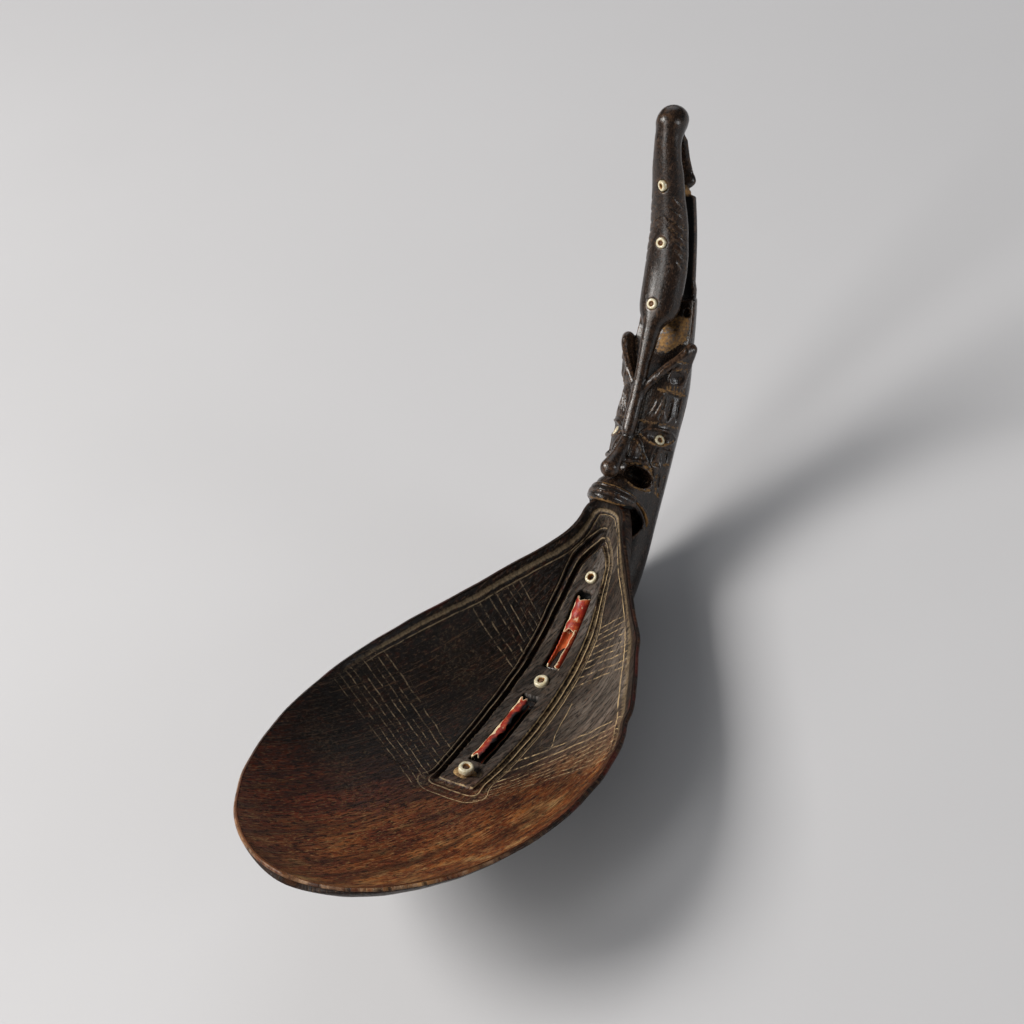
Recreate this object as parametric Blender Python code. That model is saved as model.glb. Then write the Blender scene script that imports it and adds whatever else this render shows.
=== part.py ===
"""Carved figure spoon: a bowl pegged to a figure handle, with bead and roll inlays.

The shapes are drawn in side view as forward and up, with up along the straight part of the handle.
One empty then leans the whole spoon back, so that it rests on the flat of its tongue with Z up.
"""

import math

import bmesh
import bpy
import numpy as np
from mathutils import Matrix, Vector

# Driving dimensions, in millimetres; the meshes are made in metres.
MM = 0.001
FIT_GAP = 0.3  # clearance between pieces that touch

# Bowl
BOWL_LENGTH = 163.0  # along the rim, neck tip to front tip
BOWL_WIDTH = 94.0
BOWL_DEPTH = 20.0  # rim to floor at the deepest place
BELLY = 0.60  # where it is broadest, as a share of the length
RIM_WALL = 1.3  # at the very edge
SIDE_WALL = 2.8
KEEL_WALL = 5.0  # along the middle, where the windows are cut
NECK_WIDTH = 13.0
NECK_ROUND = 5.0
NECK_FORWARD = 13.8  # neck tip ahead of the handle's centre
NECK_DROP = 2.0  # neck tip below the lip

# Leaf panel and windows, measured along the middle of the bowl from the neck tip
PANEL_START = 9.0
PANEL_END = 94.0
PANEL_HALF = 10.3
PANEL_RISE = 0.8
WINDOW_HALF = 2.7
WINDOW_DEPTH = 2.4
UPPER_WINDOW = (23.0, 45.5)
LOWER_WINDOW = (56.5, 84.5)
ROLL_RADIUS = 1.75
ROLL_WALL = 0.7

# Beads
PANEL_BEADS = (18.8, 50.8, 90.0)  # along the middle of the bowl
PANEL_BEAD_RADIUS = 2.2
PANEL_BEAD_HOLE = 0.85
PANEL_BEAD_HEIGHT = 2.3
LOWER_BEAD_LEAN = 14.0  # degrees
BED_RADIUS = 3.0
BED_THICKNESS = 1.4
BACK_BEADS = (0.832, 0.701, 0.542)  # heights on the handle, as shares of it
LOWER_BACK_LIFT = 0.8  # the lowest one sits on the root of the snout
SMALL_BEAD_RADIUS = 1.6
SMALL_BEAD_HOLE = 0.6
SMALL_BEAD_HEIGHT = 1.7
EYE_HEIGHT = 0.178  # share of the handle's height
EYE_TURN = 54.0  # degrees round from the middle of the face

# Handle
HANDLE_HEIGHT = 111.0  # mouth line to the top of the knob
HANDLE_GIRTH = 1.0  # scales every section of the shaft
SPINE_THICKNESS = 2.2
SLOT_WIDTH = 1.8
SLOT_TOP = 0.829  # shares of the handle's height
SLOT_FOOT = 0.568
LIP_RADIUS = 2.4
TONGUE_PEG_RADIUS = 1.3
TONGUE_PEGS = (24.0, 50.8)  # along the middle of the bowl
PEG_BITE = 2.0  # how far each peg stands into the bowl
REST_LEAN = 39.0  # degrees the handle rises above the table
REST_HEEL = (15.1, 21.0)  # along the bowl, and under its floor
REST_MIDDLE = 26.0  # from the heel to the middle of the flat

# Rim direction in degrees from the handle, by share of the bowl's length
RIM_TURN = (
    (0.0, 3.0),
    (0.045, 5.0),
    (0.075, 26.0),
    (0.11, 36.0),
    (0.22, 36.0),
    (0.27, 44.0),
    (0.36, 46.0),
    (0.60, 52.0),
    (1.0, 60.0),
)

# Floor depth as a share of the full depth, by share of the bowl's length
FLOOR_DEPTH = (
    (0.0, 0.02),
    (0.03, 0.16),
    (0.064, 0.32),
    (0.12, 0.50),
    (0.20, 0.74),
    (0.30, 0.95),
    (0.42, 1.0),
    (0.55, 0.96),
    (0.73, 0.77),
    (0.88, 0.45),
    (0.96, 0.20),
    (1.0, 0.0),
)

# Panel half-width as a share of PANEL_HALF, by share of the panel's length
PANEL_OUTLINE = (
    (0.0, 0.06),
    (0.1, 0.42),
    (0.3, 0.90),
    (0.55, 1.0),
    (0.8, 0.95),
    (0.93, 0.74),
    (1.0, 0.60),
)

# Shaft sections from the knob down to the throat: up, forward, side radius, front radius, back radius
SHAFT = (
    (111.0, 34.2, 2.4, 2.4, 2.4),
    (109.4, 33.2, 4.2, 4.2, 4.0),
    (106.0, 31.0, 4.9, 4.9, 4.7),
    (99.0, 26.6, 5.0, 5.2, 5.2),
    (90.0, 20.3, 5.9, 6.0, 6.0),
    (77.0, 12.9, 7.2, 7.2, 7.2),
    (60.0, 6.6, 8.7, 8.8, 8.7),
    (47.0, 3.0, 9.3, 9.3, 9.4),
    (34.0, 0.8, 10.1, 10.0, 10.2),
    (21.0, 0.2, 9.8, 9.8, 9.9),
    (8.0, -0.5, 9.5, 9.6, 9.4),
    (-4.0, -0.8, 9.2, 9.4, 9.2),
    (-16.0, -1.6, 8.8, 9.0, 8.8),
)

# Tongue sections behind the bowl: along the bowl, under its floor, side radius, front radius, back radius
TONGUE = (
    (18.5, 11.3, 8.4, 8.0, 9.4),
    (32.8, 7.1, 7.9, 4.6, 6.6),
    (46.0, 3.4, 7.2, 3.0, 6.0),
    (58.0, 3.4, 5.8, 2.4, 3.6),
    (64.2, 3.7, 3.2, 1.6, 2.0),
)

# Snout, nose and lip: forward, up, radius along each middle line
SNOUT = ((11.4, 60.0, 4.4), (12.0, 51.0, 3.4), (12.0, 41.0, 2.3), (11.1, 30.0, 2.1), (11.6, 20.0, 1.9))
NOSE = ((9.2, 19.0, 2.0), (12.0, 13.5, 2.4), (15.2, 9.0, 3.0), (16.4, 7.6, 3.0))
LIP_ARCH = ((8.6, 2.0, -13.0), (8.4, 8.0, -8.0), (5.8, 13.4, -3.0), (2.8, 16.4, -0.6))
LIP_CROWN = (17.2, 0.0)

COLOURS = {
    "bowl": (0.10, 0.045, 0.022, 1.0),
    "handle": (0.016, 0.013, 0.012, 1.0),
    "bead": (0.72, 0.66, 0.50, 1.0),
    "plug": (0.16, 0.075, 0.03, 1.0),
    "roll": (0.30, 0.035, 0.02, 1.0),
    "bed": (0.42, 0.27, 0.12, 1.0),
    "peg": (0.035, 0.024, 0.018, 1.0),
}

for old in list(bpy.data.objects):
    bpy.data.objects.remove(old, do_unlink=True)

root = bpy.data.objects.new("spoon_rest", None)
bpy.context.scene.collection.objects.link(root)
materials = {}


# Numbers

def smooth(pairs, at):
    """A smooth curve through (place, value) pairs that never overshoots them."""
    xs = np.array([p[0] for p in pairs], float)
    ys = np.array([p[1] for p in pairs], float)
    rise = np.diff(ys) / np.diff(xs)
    slope = np.zeros(len(xs))
    slope[0] = rise[0]
    slope[-1] = rise[-1]
    for i in range(1, len(xs) - 1):
        if rise[i - 1] * rise[i] > 0:
            slope[i] = 2 * rise[i - 1] * rise[i] / (rise[i - 1] + rise[i])
    at = min(max(at, xs[0]), xs[-1])
    k = min(int(np.searchsorted(xs, at, side="right")) - 1, len(xs) - 2)
    step = xs[k + 1] - xs[k]
    t = (at - xs[k]) / step
    low = (1 + 2 * t) * (1 - t) ** 2 * ys[k] + t * (1 - t) ** 2 * step * slope[k]
    high = t * t * (3 - 2 * t) * ys[k + 1] - t * t * (1 - t) * step * slope[k + 1]
    return low + high


def solid(x, forward, up):
    """A side-view place as a point in space."""
    return Vector((x, -forward, up))


def along_line(points, t):
    """A point on a smooth curve through points, with t running from 0 to 1."""
    count = len(points) - 1
    k = min(int(t * count), count - 1)
    u = t * count - k
    p = [np.array(points[min(max(k + i, 0), count)], float) for i in (-1, 0, 1, 2)]
    a = 2 * p[1] + (p[2] - p[0]) * u
    b = (2 * p[0] - 5 * p[1] + 4 * p[2] - p[3]) * u * u
    c = (3 * p[1] - p[0] - 3 * p[2] + p[3]) * u ** 3
    return 0.5 * (a + b + c)


# Meshes

def link_mesh(name, points, faces, colour=None):
    mesh = bpy.data.meshes.new(name)
    mesh.from_pydata([tuple(c * MM for c in p) for p in points], [], faces)
    skin = bmesh.new()
    skin.from_mesh(mesh)
    bmesh.ops.recalc_face_normals(skin, faces=skin.faces)
    skin.to_mesh(mesh)
    skin.free()
    obj = bpy.data.objects.new(name, mesh)
    bpy.context.scene.collection.objects.link(obj)
    obj.parent = root
    if colour:
        if colour not in materials:
            material = bpy.data.materials.new(colour)
            material.use_nodes = True
            shader = material.node_tree.nodes["Principled BSDF"]
            shader.inputs["Base Color"].default_value = COLOURS[colour]
            shader.inputs["Roughness"].default_value = 0.35
            materials[colour] = material
        mesh.materials.append(materials[colour])
    return obj


def helper(name, points, faces):
    obj = link_mesh(name, points, faces)
    obj.hide_render = True
    obj.display_type = "WIRE"
    return obj


def boolean(target, tool, operation):
    modifier = target.modifiers.new(tool.name, "BOOLEAN")
    modifier.object = tool
    modifier.operation = operation
    modifier.solver = "EXACT"


def joined(bodies):
    points = []
    faces = []
    for body_points, body_faces in bodies:
        start = len(points)
        points.extend(body_points)
        faces.extend([tuple(i + start for i in face) for face in body_faces])
    return points, faces


def rings(loops):
    """A closed skin over rings of equal count, with a flat face on each end."""
    points = [p for loop in loops for p in loop]
    count = len(loops[0])
    faces = [tuple(reversed(range(count)))]
    for i in range(len(loops) - 1):
        for j in range(count):
            a = i * count + j
            b = i * count + (j + 1) % count
            faces.append((a, b, b + count, a + count))
    faces.append(tuple(range((len(loops) - 1) * count, len(loops) * count)))
    return points, faces


def turned(profile, place, axis, segments=14, ring=False):
    """A body turned about an axis from (radius, height) pairs listed upward; a ring closes on itself."""
    side = axis.orthogonal().normalized()
    other = axis.cross(side)
    loops = []
    for radius, height in profile:
        loop = []
        for k in range(segments):
            turn = 2 * math.pi * k / segments
            spoke = side * math.cos(turn) + other * math.sin(turn)
            loop.append(place + axis * height + spoke * radius)
        loops.append(loop)
    points, faces = rings(loops)
    if ring:
        faces = faces[1:-1]
        last = (len(loops) - 1) * segments
        for j in range(segments):
            k = (j + 1) % segments
            faces.append((last + j, last + k, k, j))
    return points, faces


def ellipsoid(centre, radii, turn=None, segments=18, bands=9):
    loops = []
    for i in range(bands + 1):
        tilt = math.pi * (i + 0.12) / (bands + 0.24)
        loop = []
        for k in range(segments):
            spin = 2 * math.pi * k / segments
            x = radii[0] * math.sin(tilt) * math.cos(spin)
            y = radii[1] * math.sin(tilt) * math.sin(spin)
            p = Vector((x, y, -radii[2] * math.cos(tilt)))
            loop.append(centre + (turn @ p if turn else p))
        loops.append(loop)
    return rings(loops)


def tube(path, radii, segments=12):
    """A round bar along a path, with domed ends."""
    path = [Vector(p) for p in path]
    radii = list(radii)
    first = (path[0] - path[1]).normalized()
    last = (path[-1] - path[-2]).normalized()
    head = [(path[0] + first * radii[0] * a, radii[0] * b) for a, b in ((0.93, 0.36), (0.6, 0.8))]
    tail = [(path[-1] + last * radii[-1] * a, radii[-1] * b) for a, b in ((0.6, 0.8), (0.93, 0.36))]
    path = [p for p, r in head] + path + [p for p, r in tail]
    radii = [r for p, r in head] + radii + [r for p, r in tail]
    side = None
    loops = []
    for i, p in enumerate(path):
        way = (path[min(i + 1, len(path) - 1)] - path[max(i - 1, 0)]).normalized()
        side = way.orthogonal() if side is None else side - way * side.dot(way)
        side.normalize()
        other = way.cross(side)
        loop = []
        for k in range(segments):
            turn = 2 * math.pi * k / segments
            loop.append(p + (side * math.cos(turn) + other * math.sin(turn)) * radii[i])
        loops.append(loop)
    return rings(loops)


# Bowl surface

RIM_STEP = 0.25
rim_line = [(NECK_FORWARD, -NECK_DROP)]
for step in range(int(BOWL_LENGTH / RIM_STEP) + 1):
    share = min((step + 0.5) * RIM_STEP / BOWL_LENGTH, 1.0)
    bend = math.radians(np.interp(share, *zip(*RIM_TURN)))
    last = rim_line[-1]
    rim_line.append((last[0] + RIM_STEP * math.sin(bend), last[1] - RIM_STEP * math.cos(bend)))
rim_line = np.array(rim_line)


def rim_place(s):
    k = min(max(s / RIM_STEP, 0.0), len(rim_line) - 1.001)
    i = int(k)
    return rim_line[i] + (rim_line[i + 1] - rim_line[i]) * (k - i)


def rim_bend(s):
    return math.radians(np.interp(s / BOWL_LENGTH, *zip(*RIM_TURN)))


def half_width(s):
    share = min(max(s / BOWL_LENGTH, 0.0), 1.0)
    if share < BELLY:
        side = math.cos(math.pi / 2 * ((BELLY - share) / BELLY) ** 0.96)
    else:
        side = math.sqrt(max(1 - ((share - BELLY) / (1 - BELLY)) ** 2, 0.0))
    broad = BOWL_WIDTH / 2 * side
    neck = NECK_WIDTH / 2 * math.sqrt(1 - (1 - min(share * BOWL_LENGTH / NECK_ROUND, 1.0)) ** 2)
    neck *= max(1 - share / 0.3, 0.0)
    return max((broad ** 3 + neck ** 3) ** (1 / 3), 0.05)


def floor_point(s, x):
    """The inside of the bowl, s along the rim from the neck and x to the side."""
    forward, up = rim_place(s)
    bend = rim_bend(s)
    depth = BOWL_DEPTH * smooth(FLOOR_DEPTH, s / BOWL_LENGTH)
    drop = depth * (1 - min(abs(x) / half_width(s), 1.0) ** 2.2)
    return solid(x, forward - drop * math.cos(bend), up - drop * math.sin(bend))


def floor_frame(s, x):
    """Point, outward normal of the hollow, and the direction toward the front tip."""
    near = min(max(s, 0.4), BOWL_LENGTH - 0.4)
    reach = half_width(near) * 0.999
    x0 = min(max(x - 0.1, -reach), reach)
    x1 = min(max(x + 0.1, -reach), reach)
    front = floor_point(near + 0.3, x) - floor_point(near - 0.3, x)
    side = floor_point(near, x1) - floor_point(near, x0)
    return floor_point(s, x), front.cross(side).normalized(), front.normalized()


def wall(s, x):
    share = s / BOWL_LENGTH
    edge = min(abs(x) / half_width(s), 1.0)
    keel = math.exp(-((x / 14.0) ** 2)) * (1 - edge ** 6)
    keel *= 1 - smooth(((0.0, 0.0), (0.55, 0.0), (0.95, 1.0), (1.0, 1.0)), share)
    return RIM_WALL + (SIDE_WALL - RIM_WALL) * (1 - edge ** 6) + (KEEL_WALL - SIDE_WALL) * keel


def shell(grow, stations=38, across=20):
    """The bowl as a closed skin, grown outward on every side by an amount."""
    inside = []
    outside = []
    for i in range(stations + 1):
        share = 0.5 - 0.5 * math.cos(math.pi * (i + 0.35) / (stations + 0.7))
        s = BOWL_LENGTH * share
        width = half_width(s)
        flare = math.atan((half_width(s + 0.2) - half_width(s - 0.2)) / 0.4)
        row_in = []
        row_out = []
        for j in range(across + 1):
            turn = math.pi / 2 * 0.94
            x = width * math.sin(turn * (2 * j / across - 1)) / math.sin(turn)
            point, normal, way = floor_frame(s, x * 0.9995)
            spread = -way * 2 * grow * max(1 - s / NECK_ROUND, 0.0)
            if j in (0, across):
                outer = Vector((math.copysign(math.cos(flare), x), 0, 0)) - way * math.sin(flare)
                spread += outer * 2 * grow * max(1 - s / (4 * NECK_ROUND), 0.5)
            row_in.append(point + normal * grow + spread)
            row_out.append(point - normal * (wall(s, x) + grow) + spread)
        inside.append(row_in)
        outside.append(row_out)
    points = [p for row in inside for p in row]
    start = len(points)
    points += [p for row in outside for p in row]
    neck_in, neck_normal, neck_way = floor_frame(0.0, 0.0)
    tip_in, tip_normal, tip_way = floor_frame(BOWL_LENGTH, 0.0)
    poles = len(points)
    points.append(neck_in + neck_normal * grow - neck_way * 3 * grow)
    points.append(neck_in - neck_normal * (0.75 * KEEL_WALL + grow) - neck_way * (0.6 + 3 * grow))
    points.append(tip_in + tip_normal * grow + tip_way * grow)
    points.append(tip_in - tip_normal * (RIM_WALL + grow) + tip_way * (0.6 + grow))
    row = across + 1
    faces = []
    for i in range(stations):
        for j in range(across):
            a = i * row + j
            faces.append((a, a + 1, a + row + 1, a + row))
            b = start + a
            faces.append((b, b + row, b + row + 1, b + 1))
        for j in (0, across):
            a = i * row + j
            quad = (a, a + row, start + a + row, start + a)
            faces.append(quad if j == 0 else tuple(reversed(quad)))
    last = stations * row
    for j in range(across):
        faces.append((poles, j + 1, j))
        faces.append((poles + 1, start + j, start + j + 1))
        faces.append((poles + 2, last + j, last + j + 1))
        faces.append((poles + 3, start + last + j + 1, start + last + j))
    faces.append((poles, 0, start, poles + 1))
    faces.append((across, poles, poles + 1, start + across))
    faces.append((last, poles + 2, poles + 3, start + last))
    faces.append((poles + 2, last + across, start + last + across, poles + 3))
    return points, faces


def plate(start, end, half, low, high, stations=20, across=6):
    """A slab that follows the bowl's floor between two lifts; half gives its half-width by share."""
    loops = []
    for i in range(stations + 1):
        share = i / stations
        s = start + (end - start) * share
        upper = []
        lower = []
        for j in range(across + 1):
            x = half(share) * (2 * j / across - 1)
            point, normal, _ = floor_frame(s, x)
            upper.append(point + normal * high)
            lower.append(point + normal * low)
        loops.append(upper + lower[::-1])
    return rings(loops)


# Handle axis, from the knob to the end of the tongue

TALL = HANDLE_HEIGHT / SHAFT[0][0]
sections = [(row[0] * (TALL if row[0] > 0 else 1.0),) + row[1:] for row in SHAFT]
for s, depth, *radii in TONGUE:
    point, normal, _ = floor_frame(s, 0.0)
    centre = point - normal * depth
    sections.append((centre.z, -centre.y, *radii))


def shaft_section(t):
    """Centre and forward normal in side view, with the three radii, for t from 0 to 1."""
    row = along_line(sections, t)
    ahead = along_line(sections, min(t + 0.01, 1.0))
    behind = along_line(sections, max(t - 0.01, 0.0))
    rise = ahead[0] - behind[0]
    reach = ahead[1] - behind[1]
    long = math.hypot(rise, reach)
    return (row[1], row[0]), (-rise / long, reach / long), row[2:] * HANDLE_GIRTH


def shaft_at(up):
    """The section whose centre is at this height on the straight part of the spoon."""
    low, high = 0.0, 1.0
    for _ in range(40):
        mid = (low + high) / 2
        if shaft_section(mid)[0][1] > up:
            low = mid
        else:
            high = mid
    return shaft_section(low)


def shaft_place(up, turn, lift=0.0):
    """A place on the shaft's skin, turned round from its front, and its outward direction."""
    (forward, height), (n_forward, n_up), (side, front, _) = shaft_at(up)
    out = front * math.cos(turn)
    place = solid(side * math.sin(turn), forward + n_forward * out, height + n_up * out)
    slant = math.cos(turn) / front
    way = solid(math.sin(turn) / side, n_forward * slant, n_up * slant).normalized()
    return place + way * lift, way


# Bead seats, beads and plugs

def bead_profile(radius, hole, height):
    """A ring with rounded edges, listed round its section."""
    soft = min(0.45 * (radius - hole), 0.45 * height)
    corners = ((hole, 0, 1, 1), (radius, 0, -1, 1), (radius, height, -1, -1), (hole, height, 1, -1))
    outline = []
    for k, (r, h, dr, dh) in enumerate(corners):
        centre = (r + dr * soft, h + dh * soft)
        for step in range(2):
            turn = math.pi * (1 + k / 2) + math.pi / 8 + math.pi / 4 * step
            outline.append((centre[0] + soft * math.cos(turn), centre[1] + soft * math.sin(turn)))
    return outline


def bead_set(name, place, axis, size, sunk, plugged, bed=None):
    """Makes one bead and its plug, and returns the body to cut for its seat. Heights run along the axis."""
    radius, hole, height = size
    base = -sunk
    seat = radius + FIT_GAP
    cut = []
    if bed:
        bed_radius, bed_thick = bed
        outline = bead_profile(bed_radius, hole, bed_thick)
        points, faces = turned(outline, place + axis * base, axis, ring=True)
        link_mesh(name.replace("bead", "bed"), points, faces, "bed")
        seat = bed_radius + FIT_GAP
    lift = base + (bed[1] + FIT_GAP if bed else 0.0)
    points, faces = turned(bead_profile(radius, hole, height), place + axis * lift, axis, ring=True)
    link_mesh(name, points, faces, "bead")
    if plugged:
        plug = hole - 0.25
        foot = base - 1.0
        top = lift + height - 0.35
        profile = ((plug * 0.6, foot), (plug, foot + 0.4), (plug, top - 0.2), (plug * 0.6, top))
        points, faces = turned(profile, place, axis, 12)
        link_mesh(name.replace("bead", "plug"), points, faces, "plug")
        cut = [(hole, foot - FIT_GAP), (hole, base - FIT_GAP)]
    cut += [(seat, base - FIT_GAP), (seat, base + 6.0)]
    return turned(cut, place, axis, 16)


# Bowl with its panel, windows and seats
bowl_points, bowl_faces = shell(0.0)
bowl = link_mesh("bowl", bowl_points, bowl_faces, "bowl")


def panel_half(share):
    return PANEL_HALF * smooth(PANEL_OUTLINE, share)


panel = helper("panel_add", *plate(PANEL_START, PANEL_END, panel_half, -1.2, PANEL_RISE))
boolean(bowl, panel, "UNION")

bowl_cuts = []
for span in (UPPER_WINDOW, LOWER_WINDOW):
    sunk = PANEL_RISE - WINDOW_DEPTH
    bowl_cuts.append(plate(*span, lambda share: WINDOW_HALF, sunk, 4.0, 8, 2))

panel_size = (PANEL_BEAD_RADIUS, PANEL_BEAD_HOLE, PANEL_BEAD_HEIGHT)
for label, s in zip(("upper", "middle", "lower"), PANEL_BEADS):
    place, axis, way = floor_frame(s, 0.0)
    place = place + axis * PANEL_RISE
    bed = None
    if label == "lower":
        axis = Matrix.Rotation(math.radians(LOWER_BEAD_LEAN), 3, way) @ axis
        bed = (BED_RADIUS, BED_THICKNESS)
    plugged = label != "upper"
    bowl_cuts.append(bead_set("panel_bead_" + label, place, axis, panel_size, 1.4, plugged, bed))

# Pegs from the bowl down to the flat on which the spoon rests
peg_cuts = []
rest_way = math.radians(REST_LEAN)
rest_normal = solid(0, -math.cos(rest_way), -math.sin(rest_way))
rest_along = solid(0, math.sin(rest_way), -math.cos(rest_way))
place, axis, _ = floor_frame(REST_HEEL[0], 0.0)
heel = place - axis * REST_HEEL[1]
for label, s in zip(("upper", "lower"), TONGUE_PEGS):
    place, axis, _ = floor_frame(s, 0.0)
    root_end = place - axis * (KEEL_WALL - PEG_BITE)
    down = -axis
    length = (heel - root_end).dot(rest_normal) / down.dot(rest_normal) - 1.2
    r = TONGUE_PEG_RADIUS
    body = ((r * 0.7, 0.0), (r, 0.6), (r, length - 0.3), (r * 0.8, length))
    points, faces = turned(body, root_end, down, 12)
    link_mesh("tongue_peg_" + label, points, faces, "peg")
    bore = r + FIT_GAP
    bowl_cuts.append(turned(((bore, -FIT_GAP), (bore, PEG_BITE + 2.0)), root_end, down, 14))
    peg_cuts.append(turned(((bore, 0.5), (bore, length + 12.0)), root_end, down, 14))

bowl_cut = helper("bowl_cut", *joined(bowl_cuts))
boolean(bowl, bowl_cut, "DIFFERENCE")


# Rolled inlays, each a curled strip lying in its window

def roll(name, start, end, side, opening, facing):
    """A curled strip between two places along the window; opening and facing are degrees."""
    loops = []
    lift = PANEL_RISE - WINDOW_DEPTH + FIT_GAP + ROLL_RADIUS
    arc = 360.0 - opening
    for i in range(6):
        s = start + (end - start) * i / 5
        point, normal, way = floor_frame(s, side)
        across = normal.cross(way)
        centre = point + normal * lift
        loop = []
        for radius, order in ((ROLL_RADIUS, 1), (ROLL_RADIUS - ROLL_WALL, -1)):
            for k in range(10)[::order]:
                turn = math.radians(facing + opening / 2 + arc * k / 9)
                loop.append(centre + (across * math.sin(turn) + normal * math.cos(turn)) * radius)
        loops.append(loop)
    points, faces = rings(loops)
    link_mesh(name, points, faces, "roll")


spare = WINDOW_HALF - ROLL_RADIUS - FIT_GAP
cracked = UPPER_WINDOW[0] + 0.55 * (UPPER_WINDOW[1] - UPPER_WINDOW[0])
roll("inlay_roll_upper", UPPER_WINDOW[0] + 1.8, cracked - 0.2, 0.45 * spare, 40, 60)
roll("inlay_roll_middle", cracked + 0.2, UPPER_WINDOW[1] - FIT_GAP - 0.1, 0.45 * spare, 100, -20)
roll("inlay_roll_lower", LOWER_WINDOW[0] + 2.4, LOWER_WINDOW[1] - 1.2, -0.75 * spare, 60, 70)

# Handle: the turned shaft, then what is added to it, then what is cut away
loops = []
for i in range(46):
    centre, normal, radii = shaft_section(i / 45)
    loop = []
    for k in range(22):
        turn = 2 * math.pi * k / 22
        out = math.cos(turn) * (radii[1] if math.cos(turn) > 0 else radii[2])
        side = math.sin(turn) * radii[0]
        loop.append(solid(side, centre[0] + normal[0] * out, centre[1] + normal[1] * out))
    loops.append(loop)
handle = link_mesh("handle", *rings(loops), "handle")


def middle_bar(rows):
    """A round bar on the middle line from (forward, up, radius) rows."""
    fine = [along_line(rows, k / 10) for k in range(11)]
    return tube([solid(0, row[0], row[1]) for row in fine], [row[2] for row in fine])


arch = [solid(-x, f, u) for x, f, u in LIP_ARCH] + [solid(0, *LIP_CROWN)]
arch += [solid(x, f, u) for x, f, u in LIP_ARCH[::-1]]
lip_path = [Vector(along_line(arch, k / 20)) for k in range(21)]
ears = []
hollows = []
for hand in (-1, 1):
    lean = Matrix.Rotation(math.radians(8 * hand), 3, "Y")
    ears.append(ellipsoid(solid(8.6 * hand, 5.4, 43.0 * TALL), (3.4, 3.3, 8.6), lean))
    hollows.append(ellipsoid(solid(9.6 * hand, 9.0, 44.4 * TALL), (2.3, 2.6, 6.0), lean, 14, 7))
    hollows.append(ellipsoid(solid(7.0 * hand, 12.4, 4.6), (3.2, 4.0, 2.8), None, 14, 7))
muzzle = ellipsoid(solid(0, 8.0, 2.0), (9.1, 9.6, 8.2))
adds = (
    ("muzzle_add", muzzle),
    ("snout_add", middle_bar([(forward, up * TALL, radius) for forward, up, radius in SNOUT])),
    ("nose_add", middle_bar(NOSE)),
    ("lip_add", tube(lip_path, [LIP_RADIUS] * 21)),
    ("ears_add", joined(ears)),
)
for label, body in adds:
    boolean(handle, helper(label, *body), "UNION")

# The slot that frees the spine behind the creature's body
slot_loops = []
for i in range(15):
    height = HANDLE_HEIGHT * (SLOT_TOP + (SLOT_FOOT - SLOT_TOP) * i / 14)
    (forward, up), normal, radii = shaft_at(height)
    outer = -radii[2] + SPINE_THICKNESS
    inner = outer + SLOT_WIDTH
    corners = ((-14, outer), (14, outer), (14, inner + 6.0), (2, inner), (-2, inner), (-14, inner + 6.0))
    slot_loops.append([solid(x, forward + normal[0] * o, up + normal[1] * o) for x, o in corners])

# The flat under the tongue, on which the spoon rests
flat_loops = []
for reach in (-30.0, 90.0):
    loop = []
    for x, deep in ((-20, 0), (20, 0), (20, 30), (-20, 30)):
        loop.append(heel + Vector((x, 0, 0)) + rest_along * reach + rest_normal * deep)
    flat_loops.append(loop)

drills = list(peg_cuts)
small_size = (SMALL_BEAD_RADIUS, SMALL_BEAD_HOLE, SMALL_BEAD_HEIGHT)
for label, share in zip(("upper", "middle", "lower"), BACK_BEADS):
    lift = LOWER_BACK_LIFT if label == "lower" else 0.0
    place, axis = shaft_place(HANDLE_HEIGHT * share, 0.0, lift)
    drills.append(bead_set("back_bead_" + label, place, axis, small_size, 1.1, label != "upper"))
for label, hand in (("left", -1), ("right", 1)):
    place, axis = shaft_place(HANDLE_HEIGHT * EYE_HEIGHT, math.radians(EYE_TURN) * hand)
    drills.append(bead_set("eye_bead_" + label, place, axis, small_size, 1.2, True))

mouth = ellipsoid(solid(0, 12.8, -7.0), (6.6, 4.6, 7.4))
cuts = (
    ("mouth_cut", mouth),
    ("hollow_cut", joined(hollows)),
    ("slot_cut", rings(slot_loops)),
    ("flat_cut", rings(flat_loops)),
    ("drill_cut", joined(drills)),
    ("bowl_seat_cut", shell(FIT_GAP)),
)
for label, body in cuts:
    boolean(handle, helper(label, *body), "DIFFERENCE")

# The spoon leans back until the flat lies on the table, with the middle of the flat at the origin
lean = Matrix.Rotation(rest_way - math.pi / 2, 4, "X")
middle = (heel + rest_along * REST_MIDDLE) * MM
root.matrix_world = lean @ Matrix.Translation(-middle)
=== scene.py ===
import math

import bpy
import numpy as np
from mathutils import Matrix, Vector
from mathutils.bvhtree import BVHTree


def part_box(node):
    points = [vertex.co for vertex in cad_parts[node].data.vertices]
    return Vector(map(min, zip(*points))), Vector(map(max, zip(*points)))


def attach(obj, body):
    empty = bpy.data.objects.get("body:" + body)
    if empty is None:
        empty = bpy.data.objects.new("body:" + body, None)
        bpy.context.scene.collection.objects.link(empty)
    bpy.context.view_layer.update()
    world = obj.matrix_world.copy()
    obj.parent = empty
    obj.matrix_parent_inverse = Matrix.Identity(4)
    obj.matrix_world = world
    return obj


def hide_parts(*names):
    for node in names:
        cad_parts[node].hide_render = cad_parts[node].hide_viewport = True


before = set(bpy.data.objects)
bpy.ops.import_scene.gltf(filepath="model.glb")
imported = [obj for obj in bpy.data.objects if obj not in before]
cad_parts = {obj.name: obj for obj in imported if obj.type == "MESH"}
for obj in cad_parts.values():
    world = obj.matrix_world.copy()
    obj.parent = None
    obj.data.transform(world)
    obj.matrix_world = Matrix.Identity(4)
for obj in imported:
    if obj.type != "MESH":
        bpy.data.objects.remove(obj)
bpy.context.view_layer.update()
print("frame:", len(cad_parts), "nodes")

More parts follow.
